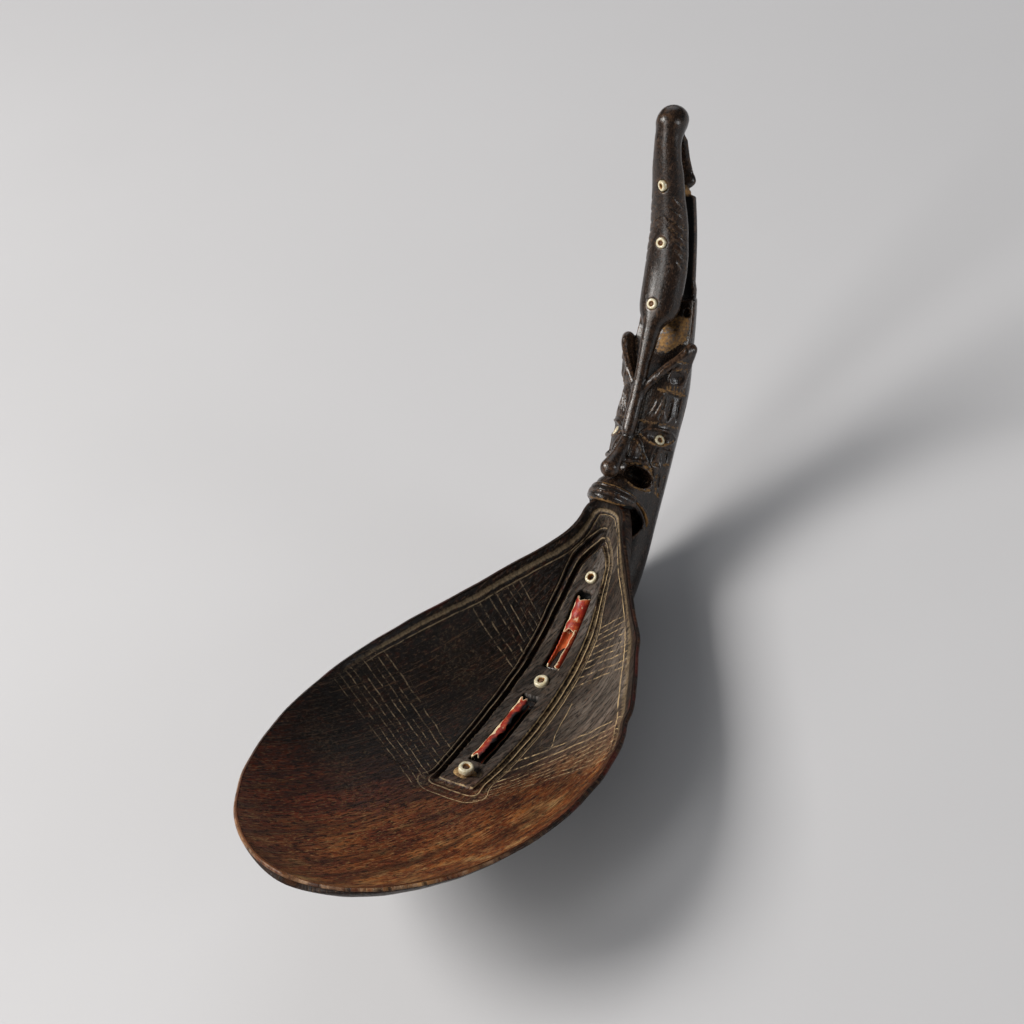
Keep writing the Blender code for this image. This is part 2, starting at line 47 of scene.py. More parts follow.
scene = bpy.context.scene
scene.view_settings.view_transform = "Standard"

# The carving is laid out in side view, in millimetres: x across, forward out of the bowl, up along the handle.
rest = dict(lean=39.0, forward=5.86, up=-46.2)  # how the spoon lies on its flat


def toRow(points):
    turn = math.radians(rest["lean"] - 90.0)
    p = np.asarray(points, float)
    y = rest["forward"] - p[..., 1]
    z = p[..., 2] - rest["up"]
    c, s = math.cos(turn), math.sin(turn)
    return np.stack([p[..., 0], c * y - s * z, s * y + c * z], -1) * 0.001


# Camera and lamps

shot = dict(place=(0.2837, -0.3207, 0.4505), turn=(46.31, 12.99, 30.42), lens=73.23)
cameraData = bpy.data.cameras.new("camera")
cameraData.lens = shot["lens"]
cameraData.sensor_width = 36.0
camera = bpy.data.objects.new("camera", cameraData)
camera.location = shot["place"]
camera.rotation_euler = [math.radians(a) for a in shot["turn"]]
scene.collection.objects.link(camera)
scene.camera = camera

lamps = [
    dict(name="keyLamp", place=(-0.96, -0.58, 1.13), size=0.65, tall=0.65, power=27.0, colour=(1.0, 0.97, 0.93)),
    dict(name="sideLamp", place=(1.0, 0.19, 0.28), size=0.24, tall=0.24, power=2.3, colour=(0.96, 0.98, 1.0)),
    dict(name="backLamp", place=(-0.35, 0.95, 0.75), size=0.9, tall=0.9, power=2.4, colour=(0.95, 0.97, 1.0)),
    dict(name="frontLamp", place=(-0.34, -1.15, 0.78), size=0.36, tall=1.30, power=9.0, colour=(1.0, 0.98, 0.95)),
]
lampAim = Vector((0.0, -0.01, 0.03))
for lamp in lamps:
    data = bpy.data.lights.new(lamp["name"], "AREA")
    data.shape = "RECTANGLE"
    data.size, data.size_y = lamp["size"], lamp["tall"]
    data.energy = lamp["power"]
    data.color = lamp["colour"]
    obj = bpy.data.objects.new(lamp["name"], data)
    obj.location = lamp["place"]
    obj.rotation_mode = "QUATERNION"
    obj.rotation_quaternion = (lampAim - Vector(lamp["place"])).to_track_quat("-Z", "Y")
    scene.collection.objects.link(obj)

studio = dict(colour=(0.86, 0.88, 0.92, 1.0), strength=0.07)
world = bpy.data.worlds.new("studio")
world.use_nodes = True
world.node_tree.nodes["Background"].inputs["Color"].default_value = studio["colour"]
world.node_tree.nodes["Background"].inputs["Strength"].default_value = studio["strength"]
scene.world = world


# Shader building: each helper works in the tree of the sockets it is given

def fill(socket, value):
    if isinstance(value, bpy.types.NodeSocket):
        socket.id_data.links.new(value, socket)
    else:
        socket.default_value = value


def place(tree, kind, values=None, **settings):
    node = tree.nodes.new(kind)
    for key, value in settings.items():
        setattr(node, key, value)
    for key, value in (values or {}).items():
        fill(node.inputs[key], value)
    return node


def treeOf(values):
    return next(v.id_data for v in values if isinstance(v, bpy.types.NodeSocket))


def sums(operation, a, b=0.0, clamp=False):
    return place(treeOf((a, b)), "ShaderNodeMath", {0: a, 1: b}, operation=operation, use_clamp=clamp).outputs[0]


def plus(a, b, clamp=False):
    return sums("ADD", a, b, clamp)


def minus(a, b, clamp=False):
    return sums("SUBTRACT", a, b, clamp)


def times(a, b, clamp=False):
    return sums("MULTIPLY", a, b, clamp)


def larger(a, b):
    return sums("MAXIMUM", a, b)


def blend(amount, a, b):
    return place(treeOf((amount, a, b)), "ShaderNodeMix", {0: amount, 6: a, 7: b}, data_type="RGBA").outputs[2]


def spread(value, low, high, start=0.0, end=1.0):
    values = {0: value, 1: low, 2: high, 3: start, 4: end}
    return place(value.id_data, "ShaderNodeMapRange", values, interpolation_type="SMOOTHSTEP").outputs[0]


def noise(vector, scale, detail=4.0, rough=0.55, stretch=None):
    if stretch:
        vector = place(vector.id_data, "ShaderNodeMapping", {"Vector": vector, "Scale": stretch}).outputs[0]
    values = {"Vector": vector, "Scale": scale, "Detail": detail, "Roughness": rough}
    return place(vector.id_data, "ShaderNodeTexNoise", values).outputs[0]


def scaled(vector, amount):
    return place(vector.id_data, "ShaderNodeVectorMath", {0: vector, "Scale": amount}, operation="SCALE").outputs[0]


def parted(vector):
    return place(vector.id_data, "ShaderNodeSeparateXYZ", {0: vector}).outputs


def mark(tree, name):
    return place(tree, "ShaderNodeAttribute", attribute_name=name).outputs["Vector"]


def position(tree):
    return tree.nodes.new("ShaderNodeNewGeometry").outputs["Position"]


def newGroup(name, takes, gives):
    group = bpy.data.node_groups.new(name, "ShaderNodeTree")
    for label, kind, value in takes:
        socket = group.interface.new_socket(label, in_out="INPUT", socket_type=kind)
        if value is not None:
            socket.default_value = value
    for label in gives:
        group.interface.new_socket(label, in_out="OUTPUT", socket_type=floatSocket)
    return group, group.nodes.new("NodeGroupInput").outputs, group.nodes.new("NodeGroupOutput").inputs


def useGroup(group, values):
    return place(treeOf(values.values()), "ShaderNodeGroup", values, node_tree=group).outputs


floatSocket, vectorSocket = "NodeSocketFloat", "NodeSocketVector"

# Long fibres with short flecks, run along the first axis of Place
fibres, takes, gives = newGroup(
    "fibres",
    [("Place", vectorSocket, None), ("Scale", floatSocket, 1.0), ("Length", floatSocket, 8.0)],
    ["Streak", "Fleck", "Cloud"],
)
along = parted(takes["Place"])
drawn = place(fibres, "ShaderNodeCombineXYZ", {0: sums("DIVIDE", along[0], takes["Length"]), 1: along[1],
                                               2: along[2]})
sized = scaled(drawn.outputs[0], takes["Scale"])
fill(gives["Streak"], spread(noise(sized, 1.0, 6.0, 0.65), 0.35, 0.68))
fill(gives["Fleck"], spread(noise(sized, 4.5, 3.0, 0.6), 0.56, 0.72))
fill(gives["Cloud"], spread(noise(takes["Place"], 0.09, 3.0), 0.3, 0.7))

# Dust that settles in a recess, broken up by noise
dusting, takes, gives = newGroup(
    "dusting",
    [("Place", vectorSocket, None), ("Recess", floatSocket, 0.0), ("Amount", floatSocket, 1.0),
     ("Scale", floatSocket, 1.0), ("Break", floatSocket, 0.7)],
    ["Mask", "Tone"],
)
sized = scaled(takes["Place"], takes["Scale"])
broken = spread(noise(sized, 1.1, 5.0, 0.7), 0.36, 0.62)
wanted = times(times(takes["Recess"], takes["Amount"]), 1.6)
filled = minus(wanted, times(minus(1.0, broken), takes["Break"]), True)
fill(gives["Mask"], filled)
fill(gives["Tone"], noise(sized, 3.0, 3.0))

# One incised line where Distance passes Centre
incising, takes, gives = newGroup(
    "incising",
    [("Distance", floatSocket, 0.0), ("Centre", floatSocket, 0.0), ("Width", floatSocket, 0.3)],
    ["Mask"],
)
away = sums("ABSOLUTE", minus(takes["Distance"], takes["Centre"]))
share = sums("DIVIDE", away, takes["Width"])
fill(gives["Mask"], spread(share, 1.0, 0.35))

# Rubbed edges and fine hairlines
rubbing, takes, gives = newGroup(
    "rubbing",
    [("Place", vectorSocket, None), ("Edge", floatSocket, 0.0), ("Amount", floatSocket, 1.0)],
    ["Mask", "Hairline"],
)
patchy = spread(noise(takes["Place"], 0.8, 4.0, 0.65), 0.38, 0.64)
worn = times(times(takes["Edge"], takes["Amount"]), patchy, True)
fill(gives["Mask"], worn)
hairs = noise(takes["Place"], 2.2, 2.0, 0.5, (0.12, 2.6, 1.0))
fill(gives["Hairline"], spread(hairs, 0.63, 0.70))


def newMaterial(name, **settings):
    material = bpy.data.materials.new(name)
    material.use_nodes = True
    shader = material.node_tree.nodes["Principled BSDF"]
    for key, value in settings.items():
        shader.inputs[key.replace("_", " ")].default_value = value
    return material, material.node_tree, shader


def bumped(shader, height, strength, distance):
    values = {"Height": height, "Strength": strength, "Distance": distance}
    fill(shader.inputs["Normal"], place(shader.id_data, "ShaderNodeBump", values).outputs[0])


def incised(distance, width, centre=0.0):
    return useGroup(incising, {"Distance": distance, "Centre": centre, "Width": width})["Mask"]


# Numbers and meshes

def smoothCurve(pairs, at):  # monotone curve through (place, value) pairs
    xs = np.array([p[0] for p in pairs], float)
    ys = np.array([p[1] for p in pairs], float)
    rise = np.diff(ys) / np.diff(xs)
    slope = np.zeros(len(xs))
    slope[0], slope[-1] = rise[0], rise[-1]
    for i in range(1, len(xs) - 1):
        if rise[i - 1] * rise[i] > 0:
            slope[i] = 2 * rise[i - 1] * rise[i] / (rise[i - 1] + rise[i])
    at = np.clip(at, xs[0], xs[-1])
    k = np.clip(np.searchsorted(xs, at, side="right") - 1, 0, len(xs) - 2)
    step = xs[k + 1] - xs[k]
    t = (at - xs[k]) / step
    low = (1 + 2 * t) * (1 - t) ** 2 * ys[k] + t * (1 - t) ** 2 * step * slope[k]
    return low + t * t * (3 - 2 * t) * ys[k + 1] - t * t * (1 - t) * step * slope[k + 1]


def step01(value, low, high):
    t = np.clip((value - low) / (high - low), 0.0, 1.0)
    return t * t * (3 - 2 * t)


def ripple(a, b, scale, seed):  # smooth random waves over two coordinates, about -1 to 1
    rng = np.random.default_rng(seed)
    total = np.zeros(np.broadcast(a, b).shape)
    for k in range(6):
        angle, phase = rng.uniform(0, 2 * math.pi, 2)
        pitch = scale * rng.uniform(0.6, 1.7)
        total += np.sin((a * math.cos(angle) + b * math.sin(angle)) / pitch * 2 * math.pi + phase)
    return total / 3.0


def makePiece(name, points, faces, material, nodes, marks=None):
    mesh = bpy.data.meshes.new(name)
    mesh.from_pydata(np.asarray(points).tolist(), [], faces if isinstance(faces, list) else faces.tolist())
    mesh.validate()
    for label, values in (marks or {}).items():
        values = np.asarray(values, np.float32)
        kind, key = ("FLOAT_VECTOR", "vector") if values.ndim == 2 else ("FLOAT", "value")
        mesh.attributes.new(label, kind, "POINT").data.foreach_set(key, values.ravel())
    mesh.polygons.foreach_set("use_smooth", np.ones(len(mesh.polygons), bool))
    mesh.materials.append(material)
    obj = bpy.data.objects.new(name, mesh)
    scene.collection.objects.link(obj)
    if nodes:
        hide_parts(*nodes)
    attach(obj, "root")
    return obj


# Floor

floorLook = dict(reach=3.0, colour=(0.56, 0.56, 0.575, 1.0), shade=(0.52, 0.52, 0.535, 1.0))
floorMaterial, tree, shader = newMaterial("paleFloor", Roughness=0.75)
spot = position(tree)
tone = blend(noise(spot, 6.0, 5.0), floorLook["colour"], floorLook["shade"])
fill(shader.inputs["Base Color"], tone)
bumped(shader, noise(spot, 900.0, 3.0), 0.05, 0.0004)
reach = floorLook["reach"]
mesh = bpy.data.meshes.new("floor")
mesh.from_pydata([(-reach, -reach, 0), (reach, -reach, 0), (reach, reach, 0), (-reach, reach, 0)], [], [(0, 1, 2, 3)])
mesh.materials.append(floorMaterial)
floor = bpy.data.objects.new("floor", mesh)
floor.location.z = -0.0002
scene.collection.objects.link(floor)

# Bowl

bowl = dict(
    length=163.0, width=94.0, depth=20.0, belly=0.60,
    rimWall=1.3, sideWall=2.8, keelWall=5.0,
    neckWidth=13.0, neckRound=5.0, neckForward=13.8, neckDrop=2.0,
    rimTurn=[(0, 3), (0.045, 5), (0.075, 26), (0.11, 36), (0.22, 36), (0.27, 44), (0.36, 46), (0.6, 52), (1, 60)],
    floorDepth=[(0, 0.02), (0.03, 0.16), (0.064, 0.32), (0.12, 0.5), (0.2, 0.74), (0.3, 0.95), (0.42, 1),
                (0.55, 0.96), (0.73, 0.77), (0.88, 0.45), (0.96, 0.2), (1, 0)],
    rows=362, columns=(8, 3, 10, 28, 36, 13), outerColumns=20,
    swells=[(41.0, 4.5, 0.8), (71.5, 2.8, -0.5)],  # along the right rim: place, reach, size
)
panel = dict(
    start=11.2, end=94.6, rise=0.8, windowHalf=2.7, windowDepth=1.6,
    outline=[(11.2, 0.3), (13.5, 2.4), (17, 4.1), (25, 5.1), (35, 6.1), (51, 6.7), (68, 6.9), (82, 6.5), (94.6, 5.6)],
    windows=[(23.0, 45.5), (56.5, 84.5)],
    beads=[18.8, 50.8, 90.0],
)
# Hatched bands: side, then each stroke's place along the bowl at five steps from the panel to the rim
hatches = [
    (-1, [(82.7, 78.2, 74.6, 71.8, 69.8), (85.3, 80.8, 77.2, 74.4, 72.2), (87.9, 83.2, 79.5, 76.5, 74.1),
          (89.6, 85.2, 81.5, 78.5, 76.3), (92.6, 87.9, 83.9, 80.7, 78.2), (94.6, 89.9, 85.9, 82.9, 80.5),
          (96.5, 91.6, 87.8, 84.8, 82.4), (98.7, 93.9, 90.1, 87.1, 84.8), (101.0, 96.1, 92.2, 89.1, 86.9)]),
    (-1, [(35.0, 33.2, 31.8, 30.6, 29.6), (36.9, 35.3, 33.8, 32.5, 31.5), (38.5, 36.9, 35.4, 34.2, 33.1),
          (40.5, 38.7, 37.3, 36.0, 34.8), (42.2, 40.5, 39.0, 37.6, 36.4), (44.0, 42.2, 40.7, 39.4, 38.3),
          (47.2, 45.0, 43.4, 42.1, 41.0), (49.6, 47.5, 45.8, 44.4, 43.3)]),
    (1, [(33.0, 32.2, 31.9, 31.9, 32.1), (35.0, 34.1, 33.6, 33.5, 33.8), (36.6, 35.7, 35.2, 35.2, 35.7),
         (38.1, 37.1, 36.8, 36.9, 37.3), (40.2, 39.3, 39.0, 39.1, 39.7), (42.1, 40.9, 40.5, 40.7, 41.3),
         (44.1, 42.8, 42.4, 42.7, 43.6), (46.8, 45.3, 44.9, 45.4, 46.2), (50.2, 48.1, 47.3, 47.5, 48.1)]),
    (1, [(79.9, 73.4, 69.6, 67.9, 67.9), (84.7, 77.3, 72.9, 70.9, 70.5), (89.6, 81.0, 75.9, 73.4, 72.8),
         (92.2, 83.4, 77.9, 75.2, 74.5), (94.2, 85.9, 80.3, 77.5, 77.0), (95.8, 87.4, 82.2, 79.7, 79.3),
         (97.2, 88.9, 84.0, 81.9, 81.8), (98.8, 90.9, 86.2, 84.2, 84.3)]),
]
stray = [(57.1, 13.9), (60.6, 14.3), (64.0, 14.7), (68.8, 15.8), (72.5, 17.3)]  # one loose line on the right
ticks = [(-20.7, 58.6), (-19.6, 61.4), (-19.4, 57.4), (-20.8, 52.2), (-15.2, 64.5), (-14.9, 62.3), (-14.0, 61.1),
         (-13.2, 65.2)]

lineStep = 0.25
share = np.minimum((np.arange(int(bowl["length"] / lineStep) + 1) + 0.5) * lineStep / bowl["length"], 1.0)
bend = np.radians(np.interp(share, *zip(*bowl["rimTurn"])))
rimForward = bowl["neckForward"] + np.concatenate([[0], np.cumsum(lineStep * np.sin(bend))])
rimUp = -bowl["neckDrop"] - np.concatenate([[0], np.cumsum(lineStep * np.cos(bend))])
rimAlong = np.arange(len(rimUp)) * lineStep


def halfWidth(s):
    part = np.clip(s / bowl["length"], 0.0, 1.0)
    fore = np.cos(math.pi / 2 * (np.maximum(bowl["belly"] - part, 0) / bowl["belly"]) ** 0.96)
    aft = np.sqrt(np.maximum(1 - ((part - bowl["belly"]) / (1 - bowl["belly"])) ** 2, 0))
    broad = bowl["width"] / 2 * np.where(part < bowl["belly"], fore, aft)
    neck = bowl["neckWidth"] / 2 * np.sqrt(1 - (1 - np.minimum(part * bowl["length"] / bowl["neckRound"], 1)) ** 2)
    neck = neck * np.maximum(1 - part / 0.3, 0)
    return np.maximum((broad ** 3 + neck ** 3) ** (1 / 3), 0.05)


def floorPoint(s, x):
    turn = np.radians(np.interp(s / bowl["length"], *zip(*bowl["rimTurn"])))
    deep = bowl["depth"] * smoothCurve(bowl["floorDepth"], s / bowl["length"])
    drop = deep * (1 - np.minimum(np.abs(x) / halfWidth(s), 1) ** 2.2)
    forward = np.interp(s, rimAlong, rimForward) - drop * np.cos(turn)
    up = np.interp(s, rimAlong, rimUp) - drop * np.sin(turn)
    return np.stack([x + 0 * s, forward, up], -1)


def unit(v):
    return v / np.maximum(np.linalg.norm(v, axis=-1, keepdims=True), 1e-9)


def floorFrame(s, x):  # point, normal out of the hollow, way toward the front tip
    near = np.clip(s, 0.4, bowl["length"] - 0.4)
    reach = halfWidth(near) * 0.999
    way = floorPoint(near + 0.3, x) - floorPoint(near - 0.3, x)
    side = floorPoint(near, np.clip(x + 0.1, -reach, reach)) - floorPoint(near, np.clip(x - 0.1, -reach, reach))
    return floorPoint(s, x), unit(np.cross(side, way)), unit(way)


def bowlWall(s, x):
    part = s / bowl["length"]
    edge = np.minimum(np.abs(x) / halfWidth(s), 1)
    keel = np.exp(-((x / 14.0) ** 2)) * (1 - edge ** 6) * (1 - step01(part, 0.55, 0.95))
    thin = bowl["rimWall"]
    return thin + (bowl["sideWall"] - thin) * (1 - edge ** 6) + (bowl["keelWall"] - bowl["sideWall"]) * keel


def nearest(s, x, outline):  # distance to a closed line of points, in the flattened bowl
    best = np.full(s.shape, 1e9)
    for part in np.array_split(outline, max(len(outline) // 40, 1)):
        d = (s[..., None] - part[:, 0]) ** 2 + (x[..., None] - part[:, 1]) ** 2
        best = np.minimum(best, d.min(-1))
    return np.sqrt(best)


# Rows crowd where the carving is, and columns follow the panel
fine = np.linspace(0.12, bowl["length"] - 0.12, 4000)
crowd = 1 / np.interp(fine, [0, 5, 6, 14, 15, 55, 56, 86, 87, 102, 108, 156, 160, 163],
                      [0.3, 0.3, 0.27, 0.27, 0.36, 0.36, 0.4, 0.4, 0.3, 0.3, 0.8, 0.8, 0.35, 0.2])
crowd = np.cumsum(crowd)
rowAt = np.interp(np.linspace(crowd[0], crowd[-1], bowl["rows"]), crowd, fine)
wide = halfWidth(rowAt)
leafHalf = np.where((rowAt > 11.2) & (rowAt < 96), smoothCurve(panel["outline"], rowAt), 0.3 * wide)
knots = [0 * wide, np.minimum(2.5, 0.18 * wide), np.minimum(2.9, 0.22 * wide)]
knots.append(np.clip(leafHalf, 0.27 * wide, np.maximum(0.45 * wide, 0.27 * wide)))
knots[3] = np.where(wide > 16, np.maximum(np.minimum(leafHalf, 0.45 * wide), 3.4), knots[3])
knots.append(np.minimum(knots[3] + 4.6, 0.5 * (knots[3] + wide)))
knots.append(np.maximum(wide - 4.2, knots[4] + 0.3 * (wide - knots[4])))
knots.append(wide)
half = [knots[0][:, None]]
for a, b, count in zip(knots, knots[1:], bowl["columns"]):
    half.append(a[:, None] + (b - a)[:, None] * np.linspace(0, 1, count + 1)[1:])
half = np.concatenate(half, 1)
gridX = np.concatenate([-half[:, :0:-1], half], 1)
gridS = np.repeat(rowAt[:, None], gridX.shape[1], 1)
wide = wide[:, None]

# Hand-cut lines wander a little
wander = 0.11 * ripple(gridS, gridX, 9.0, 3) + 0.05 * ripple(gridS, gridX, 3.1, 4)
outlineS = np.linspace(0, bowl["length"], 900)
rimOutline = np.concatenate([np.stack([outlineS, halfWidth(outlineS) * k], -1) for k in (-1, 1)])
rimDist = np.where(gridS < 40, nearest(gridS, gridX, rimOutline[np.abs(rimOutline[:, 0]) < 60]), 0.0)
flare = np.gradient(halfWidth(rowAt), rowAt)[:, None]
sideDist = (wide - np.abs(gridX)) / np.sqrt(1 + flare ** 2)
rimDist = np.where(gridS < 40, rimDist, sideDist)
leafS = np.linspace(panel["start"], panel["end"], 240)
leafX = smoothCurve(panel["outline"], leafS)
endX = np.linspace(-leafX[-1], leafX[-1], 40)
leafSides = ((leafS, leafX), (leafS, -leafX), (0 * endX + panel["end"], endX))
leaf = np.concatenate([np.stack(side, -1) for side in leafSides])
nearLeaf = (gridS < 112) & (np.abs(gridX) < 22)
leafDist = np.full(gridS.shape, 20.0)
leafDist[nearLeaf] = nearest(gridS[nearLeaf], gridX[nearLeaf], leaf)
inLeaf = (gridS > panel["start"]) & (gridS < panel["end"]) & (np.abs(gridX) < smoothCurve(panel["outline"], gridS))
leafDist = np.where(inLeaf, -leafDist, leafDist * (1 - 0.38 * step01(gridS, 91.0, 97.0)))
leafDist = leafDist * np.where((gridX > 0) & (leafDist > 0), 1 + 0.85 * (1 - step01(gridS, 15, 38)), 1.0)
leafDist = leafDist + np.where(np.abs(leafDist) < 12, wander * 0.6, 0)
rimLine = rimDist / np.where(gridX > 0, 1 + 0.78 * np.exp(-(((gridS - 57) / 15) ** 2)), 1.0) + wander * 0.5
rimLine = rimLine - 1.3 * np.exp(-((gridS - 3.0) / 4.0) ** 2) * np.exp(-(gridX / 5.0) ** 2)


def trench(distance, centre, width, depth):
    return -depth * np.exp(-((distance - centre) / width) ** 2)


lift = panel["rise"] * step01(-leafDist, -0.22, 0.1)
deep = np.where(gridX < 0, 1.0, 0.62) * (1 - 0.68 * step01(gridS, 92.5, 96))
leafLines = ((0.78, 0.42, 1.05), (1.78, 0.3, -0.42), (2.68, 0.38, 0.85))  # distance, width, depth
lift += deep * sum(trench(leafDist, *line) for line in leafLines)
lift += trench(leafDist, 3.62, 0.2, 0.22)
rimFade = 1 - step01(gridS, 74, 92)
rimLines = ((1.45, 0.42, 0.36), (2.65, 0.2, 0.2), (2.1, 0.3, -0.12))
lift += sum(trench(rimLine, *line) for line in rimLines) * rimFade
hatchPhase = np.full(gridS.shape, -2.0)
hatchMask = np.zeros(gridS.shape)
innerX = np.interp(rowAt, *zip(*panel["outline"]))[:, None] + 3.7
outerX = wide - 2.75 * np.sqrt(1 + flare ** 2)
across = (np.abs(gridX) - innerX) / np.maximum(outerX - innerX, 1.0)
fifths = np.linspace(0, 1, 5)
for bandNumber, (side, strokes) in enumerate(hatches):
    strokes = np.array(strokes)
    at = [np.interp(across, fifths, row) + 0.4 * wander + 0.12 * ripple(gridS, gridX, 6.0, 50 + k)
          for k, row in enumerate(strokes)]
    count = len(at)
    phase = np.minimum(gridS - at[0], 0) / (at[1] - at[0]) + np.maximum(gridS - at[-1], 0) / (at[-1] - at[-2])
    for low, high in zip(at, at[1:]):
        phase = phase + np.clip((gridS - low) / np.maximum(high - low, 0.2), 0, 1)
    inside = (gridX * side > 0) & (across > -0.03) & (across < 1.03) & (phase > -0.5) & (phase < count - 0.5)
    hatchPhase = np.where(inside, phase + 20 * bandNumber, hatchPhase)
    hatchMask = np.where(inside, 1.0, hatchMask)
    pitch = (at[-1] - at[0]) / (count - 1) * 0.86
    lift += np.where(inside, trench(np.abs(phase - np.round(phase)) * pitch, 0.0, 0.34, 0.1), 0)
for x, s in ticks:
    nearTick = np.hypot((gridS - s) / 1.0, np.maximum(np.abs(gridX - x) - 1.3, 0))
    lift += trench(nearTick, 0.0, 0.25, 0.12)
windowMask = np.zeros(gridS.shape)
for low, high in panel["windows"]:
    inWindow = step01(gridS, low - 0.15, low + 0.15) * (1 - step01(gridS, high - 0.15, high + 0.15))
    rounding = np.sqrt(np.maximum(1 - np.clip((low + 2.2 - gridS) / 2.4, 0, 1) ** 2, 0)) if low < 30 else 1.0
    edgeX = panel["windowHalf"] * np.maximum(rounding, 0.25) + 0.1 * wander
    inWindow = inWindow * (1 - step01(np.abs(gridX), edgeX - 0.12, edgeX + 0.18))
    lift = lift * (1 - inWindow) - panel["windowDepth"] * inWindow
    windowMask = np.maximum(windowMask, inWindow)
for s in panel["beads"]:
    lift += trench(np.hypot(gridS - s, gridX), 0.0, 1.9, 0.9)
lift += trench(np.hypot((gridS - 88.6) / 1.5, (gridX - 3.3) / 1.3), 0.0, 1.0, 1.5)  # hollow beside the lowest bead
lift += trench(np.hypot(gridS - 99.0, gridX + 26.6), 0.0, 0.6, 0.35)  # old chip
lift += 0.10 * ripple(gridS, gridX, 31.0, 5) * step01(rimDist, 0, 6) + 0.02 * ripple(gridS, gridX, 2.4, 6)


def rimSwell(s, x):  # the rim swells and is nicked on its right side
    swell = np.where(x > 0, sum(size * np.exp(-((s - at) / reach) ** 2) for at, reach, size in bowl["swells"]), 0)
    swell = swell + 0.16 * ripple(s, np.sign(x) * 30.0, 17.0, 8) * step01(s, 8, 20)
    return np.sign(x) * swell * step01(np.abs(x) / wide, 0.86, 1.0)


point, normal, way = floorFrame(gridS, gridX * 0.9995)
point[..., 0] = gridX + rimSwell(gridS, gridX)
inner = point + normal * lift[..., None]

outHalf = np.sin(np.linspace(0, math.pi / 2 * 0.94, bowl["outerColumns"] + 1)) / math.sin(math.pi / 2 * 0.94)
outX = wide * np.concatenate([-outHalf[:0:-1], outHalf])[None, :]
outS = np.repeat(rowAt[:, None], outX.shape[1], 1)
point, normal, way = floorFrame(outS, outX * 0.9995)
point[..., 0] = outX + rimSwell(outS, outX)
outer = point - normal * (bowlWall(outS, outX) + 0.06 * ripple(outS, outX, 14.0, 9))[..., None]

# Rounded rim between the two skins, one strip of three points each side
rimTurns = [math.radians(a) for a in (45, 90, 135)]


def rimStrip(top, bottom, out):
    middle = (top + bottom) / 2
    reach = top - middle
    size = np.linalg.norm(reach, axis=-1, keepdims=True)
    return np.stack([middle + reach * math.cos(t) + out * size * 0.75 * math.sin(t) for t in rimTurns], 1)


sideOut = unit(np.stack([np.ones(len(rowAt)), 0 * rowAt, 0 * rowAt], -1) - way[:, -1] * flare * 0.7)
rightStrip = rimStrip(inner[:, -1], outer[:, -1], sideOut)
leftStrip = rimStrip(inner[:, 0], outer[:, 0], sideOut * np.array([-1, 1, 1]))
ends = []
for s, sign in ((0.0, -1.0), (bowl["length"], 1.0)):
    p, n, w = floorFrame(np.array([s]), np.array([0.0]))
    thick = 0.75 * bowl["keelWall"] if s == 0 else bowl["rimWall"]
    ends.append(np.concatenate([p, rimStrip(p, p - n * thick, w * sign)[0], p - n * thick]))

points = []
marks = {"grain": [], "lines": [], "tone": [], "zone": []}


def store(block, s, x, lines, tones, zones):
    first = sum(len(b) for b in points)
    points.append(block.reshape(-1, 3))
    for label, values in dict(grain=(s, x, 0 * lines[0]), lines=lines, tone=tones, zone=zones).items():
        marks[label].append(np.stack([np.broadcast_to(v, lines[0].shape).ravel() for v in values], -1))
    return first


# Warmer, lighter horn toward the front and the right, partly the horn's own amber and partly painted light on the
# lit, thin horn; redder at the front; greyer on the right near the handle as painted sheen
warmLitAndShaded = step01(gridS * 0.9 + gridX * 1.1 + 10 * ripple(gridS, gridX * 2.2, 60.0, 11), 78, 150)
redness = step01(gridS + 6 * ripple(gridS, gridX, 40.0, 12) + 0.2 * gridX, 84, 128)
# Painted shade: a band along the right rim is kept dark
rimShade = (1 - step01(rimDist, 1.6, 3.6)) * (1 - step01(gridS, 112, 140)) * (gridX > 0)
# Below zero marks the window floors, which are painted near-black as shade
warmLitAndShaded = np.where(windowMask > 0.3, -1.0, warmLitAndShaded * (1 - 0.85 * rimShade))
# Painted sheen: greyer on the right toward the handle, by the neck and on the panel top, where these faces catch the
# light
paintedSheen = step01(gridX, 6, 24) * (1 - step01(gridS, 60, 92))
paintedSheen = np.maximum(paintedSheen, 0.75 * (1 - step01(gridS, 12, 26)) * step01(gridX, -4, 3))
paintedSheen = np.maximum(paintedSheen, np.where(leafDist < 0, 0.5, 0.0)) * (1 - 0.8 * rimShade)
# Recess dust is left off the left of the panel, which stays dark as painted shade
recess = np.clip(-lift / 0.3, 0, 1) * (lift > -1.1) * ((gridX > 0) | (gridS > 95) | (np.abs(leafDist) > 4))
loose = gridX - np.interp(gridS, *zip(*stray)) + 0.5 * wander
loose = np.where((gridS > 56) & (gridS < 73.5) & (np.abs(loose) < 4), loose, 4.0)
innerFirst = store(inner, gridS, gridX, (np.where(rimFade > 0.05, rimLine, 9.0), leafDist, hatchPhase),
                   (warmLitAndShaded, recess, hatchMask), (redness, paintedSheen, loose))
zero = 0 * outX
outerFirst = store(outer, outS, outX + 200.0, (zero + 9, zero + 20, zero - 2), (zero + 0.06, zero, zero),
                   (zero, zero, zero + 4))
stripZero = np.zeros((len(rowAt), 3))
stripS = np.repeat(rowAt[:, None], 3, 1)
worn = step01(stripS, 118, 150)
rightFirst, leftFirst = [
    store(strip, stripS, stripZero + x, (stripZero, stripZero + 20, stripZero - 2),
          (0.1 + pale * worn, stripZero, stripZero), (0.1 * worn, stripZero, stripZero + 4))
    for strip, x, pale in ((rightStrip, 47, 0.7), (leftStrip, -47, 0.5))
]
five = np.zeros(5)
